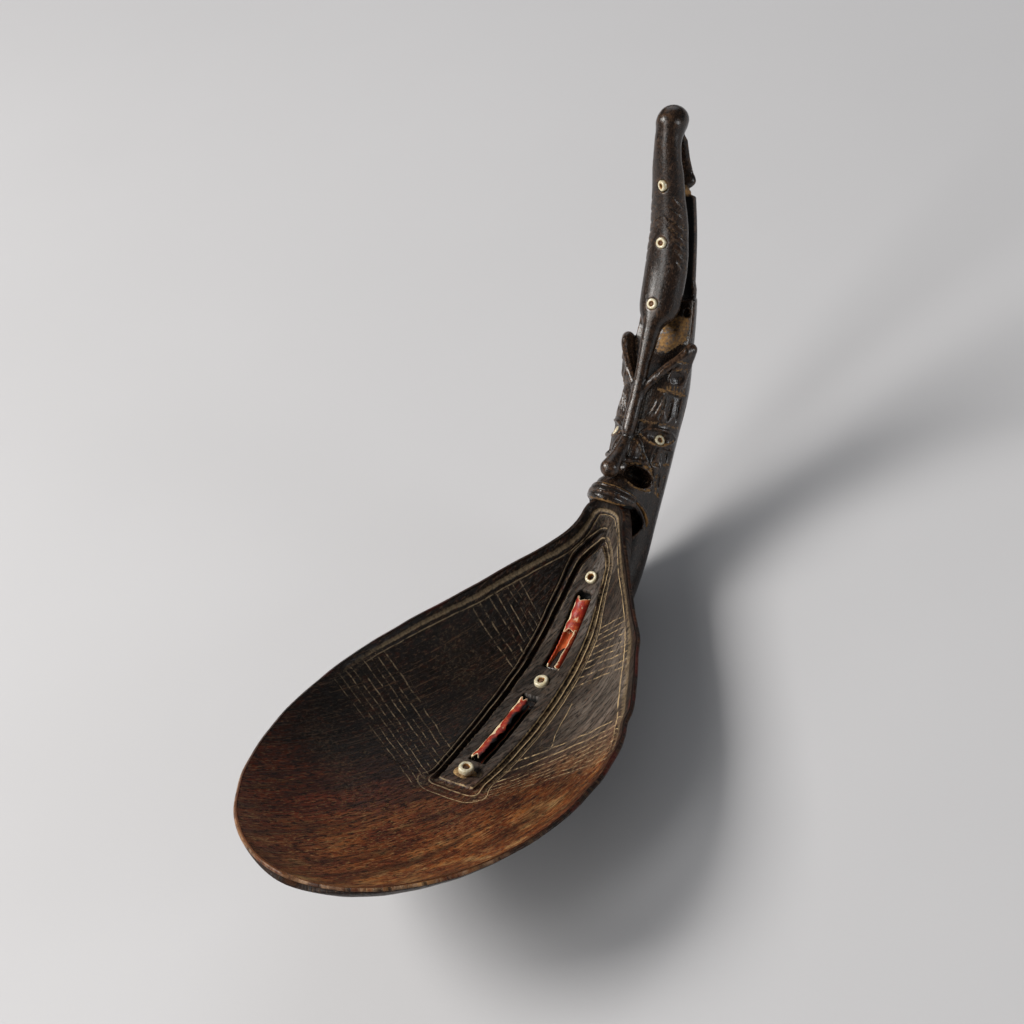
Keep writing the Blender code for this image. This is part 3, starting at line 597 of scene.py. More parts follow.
endFirst = [store(e, five + s, five, (five, five + 20, five - 2), (five + tip, five, five), (five, five, five + 4))
            for e, s, tip in zip(ends, (0.0, bowl["length"]), (0.05, 0.6))]

rows, inCols, outCols = len(rowAt), gridX.shape[1], outX.shape[1]


def gridFaces(first, rows, cols):
    i = (np.arange(rows - 1)[:, None] * cols + np.arange(cols - 1)[None, :]).ravel() + first
    return np.stack([i, i + 1, i + cols + 1, i + cols], -1).tolist()


def chain(row, side):  # the five points round the rim at one row
    strip = rightFirst if side > 0 else leftFirst
    return [innerFirst + row * inCols + (inCols - 1 if side > 0 else 0)] + [strip + row * 3 + k for k in range(3)] + [
        outerFirst + row * outCols + (outCols - 1 if side > 0 else 0)]


faces = gridFaces(innerFirst, rows, inCols) + [f[::-1] for f in gridFaces(outerFirst, rows, outCols)]
for side in (-1, 1):
    for row in range(rows - 1):
        a, b = chain(row, side), chain(row + 1, side)
        for k in range(4):
            quad = [a[k], a[k + 1], b[k + 1], b[k]]
            faces.append(quad if side < 0 else quad[::-1])
for row, end, flip in ((0, endFirst[0], False), (rows - 1, endFirst[1], True)):
    caps = [[end, innerFirst + row * inCols + j + 1, innerFirst + row * inCols + j] for j in range(inCols - 1)]
    caps += [[end + 4, outerFirst + row * outCols + j,
              outerFirst + row * outCols + j + 1] for j in range(outCols - 1)]
    for side in (-1, 1):
        a = chain(row, side)
        for k in range(4):
            quad = [end + k, end + k + 1, a[k + 1], a[k]]
            caps.append(quad if side < 0 else quad[::-1])
    faces += [f[::-1] for f in caps] if flip else caps

bowlPoints, bowlFaces = np.concatenate(points), faces
bowlMarks = {k: np.concatenate(v) for k, v in marks.items()}

bowlLook = dict(
    dark=(0.0034, 0.0024, 0.0020, 1), brown=(0.032, 0.0135, 0.0068, 1), red=(0.125, 0.0200, 0.0052, 1),
    amber=(0.37, 0.125, 0.026, 1),
    ochre=(0.48, 0.295, 0.12, 1), sheenGrey=(0.20, 0.165, 0.135, 1), fill=(0.45, 0.32, 0.17, 1),
    line=(0.27, 0.20, 0.12, 1),
    bark=(0.135, 0.078, 0.042, 1), rust=(0.20, 0.040, 0.011, 1), worn=(0.34, 0.20, 0.11, 1),
    olive=(0.165, 0.095, 0.030, 1), edge=(0.085, 0.010, 0.005, 1), black=(0.0016, 0.0014, 0.0013, 1),
)
bowlMaterial, tree, shader = newMaterial("bowlHorn", Specular_IOR_Level=0.2)
grain = mark(tree, "grain")
spots = parted(grain)
lines, tones, zones = [parted(mark(tree, name)) for name in ("lines", "tone", "zone")]
slanted = place(tree, "ShaderNodeMapping", {"Vector": grain, "Rotation": (0, 0, math.radians(23))}).outputs[0]
streak, fleck, cloud = useGroup(fibres, {"Place": slanted, "Scale": 0.42, "Length": 4.5})
pits = spread(noise(slanted, 1.5, 4.0, 0.7, (0.28, 1.0, 1.0)), 0.52, 0.585)
chips = spread(noise(slanted, 2.1, 4.0, 0.68, (0.3, 1.0, 1.0)), 0.56, 0.61)
rusty = spread(noise(slanted, 1.1, 5.0, 0.72, (0.3, 1.0, 1.0)), 0.53, 0.62)
scratch = spread(noise(slanted, 1.0, 2.0, 0.5, (0.045, 2.6, 1.0)), 0.61, 0.67)
colour = blend(times(streak, plus(0.28, times(zones[0], 0.5))), bowlLook["dark"], bowlLook["brown"])
reddish = times(zones[0], plus(0.45, times(streak, 0.5)))
colour = blend(reddish, colour, bowlLook["red"])
# Painted sheen greys the lit right side, the neck and the panel top
colour = blend(times(zones[1], plus(0.25, times(streak, 0.6))), colour, bowlLook["sheenGrey"])
# Warm share: the horn's own amber, partly painted light where the lit, thin horn looks amber and ochre
litWarmth = times(tones[0], plus(0.2, times(cloud, 0.85)), True)
colour = blend(litWarmth, colour, blend(streak, bowlLook["red"], bowlLook["amber"]))
pale = times(spread(litWarmth, 0.45, 0.95), spread(noise(slanted, 0.12, 5.0, 0.65), 0.45, 0.62))
colour = blend(times(pale, 0.7), colour, bowlLook["ochre"])
colour = blend(times(rusty, plus(0.1, times(zones[0], 0.55))), colour, bowlLook["rust"])
light = blend(plus(times(zones[0], 0.35), tones[0], True), bowlLook["bark"], bowlLook["ochre"])
chipped = times(chips, plus(plus(0.42, times(zones[0], 0.2)), times(fleck, 0.4)))
colour = blend(larger(chipped, times(scratch, 0.4)), colour, light)
combed = spread(noise(slanted, 0.55, 5.0, 0.68, (0.13, 1.1, 1.0)), 0.53, 0.66)
combed = times(combed, spread(noise(slanted, 0.09, 3.0), 0.42, 0.60, 0.05, 0.55))
combed = times(combed, larger(zones[0], tones[0]))
colour = blend(combed, colour, blend(larger(tones[0], 0.0), bowlLook["olive"], bowlLook["ochre"]))
colour = blend(times(pits, 0.85), colour, bowlLook["dark"])
murk = spread(noise(slanted, 0.2, 5.0, 0.68, (0.14, 1.0, 1.0)), 0.47, 0.63)
colour = blend(times(murk, 0.6), colour, bowlLook["dark"])
patchy = spread(noise(grain, 0.11, 4.0, 0.6), 0.47, 0.63)
# Painted glow: dark red along the thin rim edge, where light shines through the horn
paintedGlow = times(spread(lines[0], 0.45, 0.05), spread(spots[0], 16.0, 50.0, 0.0, 0.6))
paintedGlow = times(paintedGlow, spread(spots[0], 130.0, 100.0))
colour = blend(times(paintedGlow, patchy), colour, bowlLook["edge"])
bare = times(spread(lines[0], 0.6, 0.05), spread(spots[0], 112.0, 140.0))
rubbed = spread(noise(scaled(position(tree), 1000.0), 0.3, 5.0, 0.7), 0.38, 0.66, 0.0, 0.75)
colour = blend(times(bare, rubbed), colour, bowlLook["worn"])

# Real dust in the cut lines, drawn out along them; it is kept darker and sparser on the left as painted shade in the
# left trenches
rightward = spread(spots[1], -9.0, 9.0)
longWorn = spread(noise(grain, 1.0, 5.0, 0.65, (0.1, 0.7, 1.0)), 0.28, 0.55)
rimFading = spread(spots[0], 92.0, 62.0)
band = times(incised(lines[0], 0.6, 1.5), spread(longWorn, 0.0, 1.0, 0.5, 0.64))
cut = times(times(incised(lines[0], 0.17, 2.65), 0.95), rimFading)
thinLines = ((lines[1], 0.19, 1.8), (lines[1], 0.15, 3.62), (lines[1], 0.14, 0.0), (zones[2], 0.15, 0.0))
for line in thinLines:
    cut = larger(cut, times(incised(*line), 0.9))
cut = larger(times(cut, longWorn), times(times(band, rimFading), spread(spots[1], -4.0, 12.0, 0.9, 0.42)))
stroke = sums("ROUND", lines[2])
dash = place(tree, "ShaderNodeCombineXYZ", {0: times(stroke, 3.7), 1: spots[1]}).outputs[0]
dash = spread(noise(dash, 0.30, 5.0, 0.72), 0.33, 0.62)
dash = times(dash, spread(noise(grain, 0.9, 4.0, 0.7), 0.34, 0.60, 0.22, 1.0))
hatch = times(incised(minus(lines[2], stroke), 0.12), times(tones[2], dash))
cut = times(larger(cut, hatch), spread(rightward, 0.0, 1.0, 0.62, 0.8))
recess = larger(cut, times(tones[1], 0.2))
dust = useGroup(dusting, {"Place": grain, "Recess": recess, "Amount": 1.0, "Scale": 1.2, "Break": 0.3})
# line is the darker dust tone on the left, painted shade
colour = blend(dust["Mask"], colour, blend(rightward, bowlLook["line"], bowlLook["fill"]))
# Painted shade: the window floors turn near-black
paintedShade = spread(tones[0], -0.1, -0.7)
fill(shader.inputs["Base Color"], blend(paintedShade, colour, bowlLook["black"]))
rough = plus(0.38, times(plus(chips, pits), 0.14))
fill(shader.inputs["Roughness"], plus(rough, times(larger(dust["Mask"], paintedShade), 0.3), True))
height = plus(times(streak, 0.4), times(chips, 0.35))
height = minus(height, larger(times(pits, 0.6), larger(hatch, times(scratch, 0.7))))
bumped(shader, height, 0.6, 0.00035)

makePiece("bowlCarved", toRow(bowlPoints), bowlFaces, bowlMaterial, ["bowl"], bowlMarks)
print("bowl:", len(bowlFaces), "faces")

# Handle: shapes are added and cut in a field of distances over half the handle, then mirrored and skinned

handle = dict(
    voxel=0.3, clear=0.3, mostFaces=92000,  # clear is the gap to the bowl
    low=(0.0, -20.0, -74.0), high=(13.8, 43.0, 114.6), heel=(-10.5, -26.0),
    # up, forward, then side, front and back radius of the whole horn
    shaft=[(111, 34.2, 2.4, 2.4, 2.4), (109.4, 33.2, 4.2, 4.2, 4.0), (106, 31, 4.9, 4.9, 4.7),
           (99, 26.6, 5, 5.2, 5.2), (90, 20.3, 5.9, 6, 6), (77, 12.9, 7.2, 7.2, 7.2), (60, 6.6, 8.7, 8.8, 8.7),
           (47, 3, 9.3, 9.3, 9.4), (34, 0.8, 10.1, 10, 10.2), (21, 0.2, 9.8, 9.8, 9.9), (8, -0.5, 9.5, 9.6, 9.4),
           (-4, -0.8, 9.2, 9.4, 9.2), (-16, -1.6, 8.8, 9, 8.8)],
    # along the bowl, depth under its floor, then the same radii
    tongue=[(18.5, 11.3, 8.4, 8.0, 9.4), (32.8, 7.1, 7.9, 4.6, 6.6), (46, 3.4, 7.2, 3, 6), (58, 3.4, 5.8, 2.4, 3.6),
            (64.2, 3.7, 3.2, 1.6, 2.0)],
)
creature = dict(
    # up, front line, side radius, depth radius
    body=[(49.0, 14.6, 1.8, 1.8), (52, 15.6, 3.5, 3.2), (55, 16.1, 5.5, 4.7), (58, 16.4, 6.3, 5.1),
          (62, 16.9, 6.5, 5.0), (67, 17.7, 6.6, 4.9), (72.5, 19.2, 6.5, 4.7), (78, 21.2, 6.05, 4.4),
          (83.5, 24.2, 5.7, 4.2), (89, 27.4, 5.1, 3.8), (94.5, 30.7, 4.8, 3.6), (98, 32.7, 4.3, 3.3),
          (101.5, 34.4, 4.05, 3.4), (104.4, 35.4, 4.0, 3.9), (106.6, 36.0, 3.9, 4.1), (108.2, 35.6, 3.2, 3.6),
          (109.2, 34.6, 2.2, 2.6), (109.9, 33.6, 1.2, 1.4)],
    beak=[(0, 12.6, 55.5, 2.9), (0, 12.8, 52.5, 2.85), (0, 12.7, 49.5, 2.7), (0, 12.5, 45, 2.4), (0, 12.4, 40, 1.95),
          (0, 11.8, 34.5, 1.9), (0, 11.3, 29, 2.05), (0, 11.4, 23.5, 2.15), (0, 11.5, 20.0, 2.0)],
    crownAt=(0, 31.0, 108.6), crownSize=(4.3, 5.2, 4.2),
    spineWidth=[(56, 5.8), (62, 5.3), (66, 5.2), (68, 4.7), (80, 4.6), (91, 4.6)], spineThick=2.7, spineTop=90.7,
)

axisX, axisF, axisU = [np.arange(lo, hi, handle["voxel"]) for lo, hi in zip(handle["low"], handle["high"])]
axes = (axisX, axisF, axisU)
field = np.full((len(axisX), len(axisF), len(axisU)), 30.0, np.float32)
dustField = np.zeros_like(field)

sections = list(handle["shaft"])
for s, under, *radii in handle["tongue"]:
    p, n, _ = floorFrame(np.array(s), np.array(0.0))
    centre = p - n * under
    sections.append((centre[2], centre[1], *radii))
sections = sections[::-1]
shaftLow = sections[0][0]


def sectionAt(up):  # centre, side, front and back radius measured level
    rows = [smoothCurve([(r[0], r[k]) for r in sections], up) for k in range(1, 5)]
    slope = np.hypot(1.0, np.gradient(rows[0], up)) if np.ndim(up) else 1.0
    return rows[0], rows[1], rows[2] * slope, rows[3] * slope, slope


shaftC, shaftA, shaftF, shaftB, shaftSlope = sectionAt(axisU)


def block(low, high):
    cut = [slice(*np.searchsorted(axis, (lo, hi))) for axis, lo, hi in zip(axes, low, high)]
    return tuple(cut), axisX[cut[0]][:, None, None], axisF[cut[1]][None, :, None], axisU[cut[2]][None, None, :]


def softMin(a, b, k):
    h = np.clip(0.5 + 0.5 * (b - a) / k, 0, 1)
    return b + (a - b) * h - k * h * (1 - h)


def reachOf(points, margin):
    points = np.asarray(points, float)
    return points.min(0) - margin, points.max(0) + margin


def shape(kind, points, margin, soft, job, dust=0.0, dustReach=0.5):
    low, high = reachOf(points, margin)
    cut, x, f, u = block(low, high)
    d = kind(x, f, u).astype(np.float32)
    if job == "add":
        field[cut] = softMin(field[cut], d, soft)
    else:
        field[cut] = -softMin(-field[cut], d, soft)
    if dust:
        dustField[cut] = np.maximum(dustField[cut], dust * np.clip((dustReach - d) / dustReach, 0, 1))


def ovalGap(offsets, radii):  # about how far outside an oval
    k0 = np.sqrt(sum((p / r) ** 2 for p, r in zip(offsets, radii)))
    k1 = np.sqrt(sum((p / r ** 2) ** 2 for p, r in zip(offsets, radii)))
    return k0 * (k0 - 1) / np.maximum(k1, 1e-6)


def oval(centre, radii, turn=None):  # turn is a 3 x 3 matrix whose rows are the oval's own axes
    def kind(x, f, u):
        p = [x - centre[0] + 0 * f + 0 * u, f - centre[1] + 0 * x + 0 * u, u - centre[2] + 0 * x + 0 * f]
        if turn is not None:
            p = [sum(turn[i][j] * p[j] for j in range(3)) for i in range(3)]
        return ovalGap(p, radii)
    return kind


def bar(rows, flat=1.0):  # round bar along (x, forward, up, radius) rows; flat widens it across
    rows = np.asarray(rows, float)

    def kind(x, f, u):
        best = None
        for a, b in zip(rows, rows[1:]):
            way = b[:3] - a[:3]
            way = way * np.array([1 / flat, 1, 1])
            px, pf, pu = (x - a[0]) / flat, f - a[1], u - a[2]
            t = np.clip((px * way[0] + pf * way[1] + pu * way[2]) / max(way @ way, 1e-9), 0, 1)
            d = np.sqrt((px - t * way[0]) ** 2 + (pf - t * way[1]) ** 2 + (pu - t * way[2]) ** 2)
            d = d - (a[3] + (b[3] - a[3]) * t)
            best = d if best is None else np.minimum(best, d)
        return best
    return kind


def ovalJob(job, centre, radii, soft, turn=None, **dust):
    shape(oval(centre, radii, turn), [centre], max(radii) + 2, soft, job, **dust)


def barJob(job, rows, soft, flat=1.0, **dust):
    shape(bar(rows, flat), [r[:3] for r in rows], max(r[3] for r in rows) * flat + 2, soft, job, **dust)


def dot(way, off):
    return way[0] * off[0] + way[1] * off[1] + way[2] * off[2]


def plate(a, b, c, thick):  # rounded three-cornered plate
    a, b, c = [np.asarray(v, float) for v in (a, b, c)]
    sides = [b - a, c - b, a - c]
    face = np.cross(sides[0], a - c)

    def kind(x, f, u):
        offs = [[x - v[0], f - v[1], u - v[2]] for v in (a, b, c)]
        rims, over = [], True
        for way, off in zip(sides, offs):
            t = np.clip(dot(way, off) / (way @ way), 0, 1)
            rims.append(sum((way[k] * t - off[k]) ** 2 for k in range(3)))
            over = over & (dot(np.cross(way, face), off) <= 0)
        flat = dot(face, offs[0]) ** 2 / (face @ face)
        near = np.minimum(np.minimum(rims[0], rims[1]), rims[2])
        return np.sqrt(np.where(over, flat, near)) - thick
    return kind


def addPlate(a, b, c, thick, soft):
    shape(plate(a, b, c, thick), [a, b, c], thick + 2, soft, "add")


def skin(up, angle, out=0.0):  # a place on the whole horn, turned round from its front
    c, a, b, back, _ = [np.interp(up, axisU, v) for v in (shaftC, shaftA, shaftF, shaftB, shaftSlope)]
    t = math.radians(angle)
    depth = b if abs(angle) < 90 else back
    x, f = a * math.sin(t), depth * math.cos(t)
    n = np.array([math.sin(t) / a, math.cos(t) / depth])
    n = n / np.linalg.norm(n)
    return np.array([x + n[0] * out, c + f + n[1] * out, up])


def fieldAt(p):
    spot = [(p[k] - axes[k][0]) / handle["voxel"] for k in range(3)]
    spot[0] = abs(spot[0])
    cell = [min(max(int(v), 0), field.shape[k] - 2) for k, v in enumerate(spot)]
    w = [v - c for v, c in zip(spot, cell)]
    total = 0.0
    for i in (0, 1):
        for j in (0, 1):
            for k in (0, 1):
                share = (w[0] if i else 1 - w[0]) * (w[1] if j else 1 - w[1]) * (w[2] if k else 1 - w[2])
                total += share * field[cell[0] + i, cell[1] + j, cell[2] + k]
    return float(total)


def settle(points):  # moves points straight to the present surface
    done = []
    for p in points:
        p = np.array(p, float)
        for _ in range(6):
            g = np.array([fieldAt(p + e) - fieldAt(p - e) for e in np.eye(3) * 0.3])
            p = p - fieldAt(p) * g / max(np.linalg.norm(g), 1e-6)
        done.append(p)
    return np.array(done)


def between(points, count):  # evenly many points on a smooth line through points
    points = np.asarray(points, float)
    t = np.linspace(0, len(points) - 1, count)
    k = np.minimum(t.astype(int), len(points) - 2)
    u = (t - k)[:, None]
    pad = np.concatenate([2 * points[:1] - points[1:2], points, 2 * points[-1:] - points[-2:-1]])
    a, b, c, d = pad[k], pad[k + 1], pad[k + 2], pad[k + 3]
    return 0.5 * (2 * b + (c - a) * u + (2 * a - 5 * b + 4 * c - d) * u ** 2 + (3 * b - a - 3 * c + d) * u ** 3)


def groove(points, radius, dust, count, raised, sink=0.1):  # runs out thin at both ends
    line = settle(between(points, count))
    ends = np.minimum(1, 0.55 + 2.5 * np.minimum(np.linspace(0, 1, count), np.linspace(1, 0, count)))
    rows = np.concatenate([line, (radius * ends)[:, None]], 1)
    job, soft = ("add", 0.25) if raised else ("cut", 0.15)
    barJob(job, rows, soft, dust=dust, dustReach=0.12 + sink)


# The horn as one solid, then the block below the slot
x, f, u = axisX[:, None, None], axisF[None, :, None], axisU[None, None, :]
depth = np.where(f > shaftC, shaftF, shaftB)
whole = ovalGap((x, f - shaftC), (shaftA, depth)) / np.sqrt(shaftSlope)
whole = np.maximum(whole, shaftLow - u)
field[:] = -softMin(-whole, 60.6 - u - 0.35 * np.maximum(f - shaftC, -6) + 0.02 * x ** 2, 1.0)


def tilt(angle):  # turns an oval's own axes about the forward axis
    c, s = math.cos(math.radians(angle)), math.sin(math.radians(angle))
    return [[c, 0, -s], [0, 1, 0], [s, 0, c]]


def facing(angle, drop=0.0):  # own axes: round the horn, out of it, up; drop turns them about the way out
    c, s = math.cos(math.radians(angle)), math.sin(math.radians(angle))
    cd, sd = math.cos(math.radians(drop)), math.sin(math.radians(drop))
    return [[c * cd, -s * cd, -sd], [s, c, 0], [c * sd, -s * sd, cd]]


figure = dict(
    # up, then how far back the hollow between the ears goes and how wide it is
    hollow=[(32, 12.0, 0.2), (35, 10.4, 1.5), (38, 8.6, 3.4), (41, 6.9, 5.3), (44, 5.4, 7.2), (47, 4.6, 9.0),
            (48.6, 4.3, 13.0), (52, 4.4, 14.0), (57, 5.6, 14.0), (63, 7.2, 14.0)],
    earBand=[(11.2, 5.6, 47.3, 1.35), (9.6, 7.8, 44.6, 1.3), (7.4, 9.7, 41.2, 1.15), (4.6, 11.0, 37.2, 1.0),
             (2.0, 11.5, 33.4, 0.9), (0.7, 11.1, 29.6, 0.7)],
    earBack=[(10.6, 5.4, 47.4, 1.7), (9.6, 4.4, 42.8, 1.9), (8.8, 4.0, 37.0, 1.9)],
    earFill=((8.6, 5.8, 41.0), (1.7, 3.3, 6.6)),
    earTip=((10.3, 5.4, 46.1), (1.6, 3.2, 2.9)),
    nose=[(0, 10.2, 19.4, 1.5), (0, 12.2, 15.6, 1.7), (0, 14.4, 11.8, 2.0), (0, 17.0, 7.6, 2.9)],
    wing=((0.5, 10.5, 18.4), (1.2, 13.4, 10.9), (6.5, 8.0, 11.6), 0.85),
    muzzleAt=(0, 7.4, 1.4), muzzleSize=(7.2, 8.8, 6.0),
    core=[(0, 16.2, -0.1, 2.6), (1.6, 15.9, -0.1, 2.6), (3.2, 14.9, -0.2, 2.5), (4.7, 13.1, -0.5, 2.3),
          (6.0, 11.2, -0.9, 2.1)],
    ridges=[[(0, 17.4, 2.3, 0.95), (2.4, 16.6, 2.2, 0.95), (4.4, 14.7, 1.8, 0.95), (6.0, 12.5, 1.1, 0.9),
             (7.2, 10.3, 0.3, 0.8), (8.2, 8.4, -0.9, 0.8), (8.9, 6.4, -2.2, 0.8), (9.3, 5.0, -3.6, 0.75),
             (9.5, 3.9, -5.1, 0.7), (9.4, 3.1, -6.8, 0.6), (9.2, 2.3, -7.8, 0.5)],
            [(0, 18.3, -1.75, 0.85), (2.6, 17.4, -1.8, 0.85), (4.7, 15.2, -2.05, 0.8), (6.0, 13.0, -2.4, 0.7)],
            [(0, 18.6, 0.35, 1.15), (2.6, 17.7, 0.3, 1.15), (4.9, 15.4, 0.0, 1.1), (6.4, 12.9, -0.6, 1.0),
             (7.3, 10.9, -1.3, 0.85), (8.0, 8.8, -2.4, 0.8), (8.4, 7.0, -3.6, 0.75), (8.6, 5.4, -4.9, 0.7),
             (8.6, 4.3, -6.3, 0.6), (8.2, 3.2, -7.6, 0.5)]],
    mouth=((5.9, 8.8, 7.0), (4.7, 7.0, 2.9), 38, 12),
    throat=((6.4, 6.6, -6.3), (2.9, 6.5, 4.6), 30, 12),
    # underLip is where a painted shadow lies under the lip's right end
    underLip=((6.4, 12.2, -3.0), (2.6, 1.9, 1.3)), noseSide=((2.2, 9.4, 13.6), (2.6, 2.8, 4.6)),
    slotHole=((6.5, 6.2, 57.6), (1.25, 2.6, 1.25)), ridgeSink=0.35,
    # up, angle round the horn, depth or height over it, radii
    scoops=[(33.2, 64, 1.15, (7.5, 4.0, 11.6)), (17.0, 80, 0.9, (6.5, 4.0, 11.0))],
    sockets=[(37.6, 56, 2.5, (3.9, 2.4, 2.9)), (20.0, 54, 0.5, (5.6, 1.8, 2.1))],
)

# Creature's body, standing free in front of its spine
bodyFront, bodyA, bodyB = [smoothCurve([(r[0], r[k]) for r in creature["body"]], axisU) for k in (1, 2, 3)]
bodyTilt = np.hypot(1.0, np.clip(np.gradient(bodyFront, axisU), -0.1, 0.8))
bodyB = bodyB * bodyTilt
bodyC = bodyFront - bodyB
body = ovalGap((x, f - bodyC), (bodyA, bodyB)) / bodyTilt ** 0.5
body = np.maximum(np.maximum(body, u - 109.0), 48.5 - u)

spineBack = shaftC - shaftB
spineMid = spineBack + creature["spineThick"] / 2
spineHalf = np.interp(axisU, *zip(*creature["spineWidth"]))
qx = np.abs(x) - spineHalf + 0.9
qf = np.abs(f - spineMid) - creature["spineThick"] / 2 + 0.9
spine = np.hypot(np.maximum(qx, 0), np.maximum(qf, 0)) + np.minimum(np.maximum(qx, qf), 0) - 0.9
spine = np.maximum(np.maximum(spine * 0.9, u - creature["spineTop"]), 52.0 - u)
field[:] = softMin(field, spine, 0.8)


def axisAt(up, out):
    return np.interp(up, axisU, shaftC) + out


rows = np.array(figure["hollow"], float)
floorAt, reachAt = [np.interp(axisU, rows[:, 0], rows[:, k]) for k in (1, 2)]
hollowed = np.maximum(np.maximum(floorAt - f, (np.abs(x) - reachAt) * 0.75), np.maximum(32.0 - u, u - 66.0))
field[:] = -softMin(-field, hollowed, 0.6)
shelf = np.clip((0.7 - np.abs(hollowed)) / 0.7, 0, 1) * step01(u - 0.83 * np.maximum(x - 2.5, 0), 44.4, 45.6)
shelf = shelf * (1 - step01(u, 55.8, 57.2)) * (1 - step01(np.abs(x), 7.4, 8.4)) * (f > 3)
dustField[:] = np.maximum(dustField, shelf)
barJob("add", figure["earBack"], 0.9)
ovalJob("add", *figure["earFill"], 0.9, tilt(12))
barJob("add", figure["earBand"], 0.5)
ovalJob("add", *figure["earTip"], 0.7, tilt(12))
field[:] = softMin(field, body, 0.5)
dustField *= step01(body, 0.5, 1.3)
barJob("add", creature["beak"], 0.6)
barJob("add", [(0, axisAt(106.8, -3.6), 106.8, 0.7), (0, axisAt(104.5, -5.9), 104.5, 1.1),
               (0, axisAt(100, -7.0), 100.0, 1.2),
        (0, axisAt(96.8, -7.3), 96.8, 1.5), (0, axisAt(94.6, -6.6), 94.6, 1.9)], 0.5, 2.3)
ovalJob("add", creature["crownAt"], creature["crownSize"], 2.0, [[1, 0, 0], [0, 0.95, -0.31], [0, 0.31, 0.95]])
ovalJob("add", (0, axisAt(94.6, -6.6), 94.6), (4.2, 2.6, 3.0), 0.6)
ovalJob("add", (0, axisAt(91.6, -3.4), 91.2), (3.9, 4.6, 1.5), 0.5, dust=1.0, dustReach=0.8)
dustField *= step01(body, 0.3, 0.9)
print("handle: body and spine")

ovalJob("add", figure["muzzleAt"], figure["muzzleSize"], 2.0)
ovalJob("add", *figure["noseSide"], 0.8)
addPlate(*figure["wing"], 0.5)
barJob("add", figure["nose"], 0.9)
for label in ("mouth", "throat"):
    at, radii, *turn = figure[label]
    ovalJob("cut", at, radii, 0.4, facing(*turn))
barJob("add", figure["core"], 0.8)
for ridge in figure["ridges"]:
    barJob("add", [(x, f, u, r - figure["ridgeSink"]) for x, f, u, r in ridge], 0.5)
cut, x, f, u = block((0, 10, -30), (9.0, 30, -2.0))
clear = np.maximum(np.maximum(u + 3.0 + 0.03 * x ** 2, 11.5 - f), np.abs(x) - 8.2) + 0 * field[cut]
field[cut] = -softMin(-field[cut], clear.astype(np.float32), 0.3)
print("handle: face")

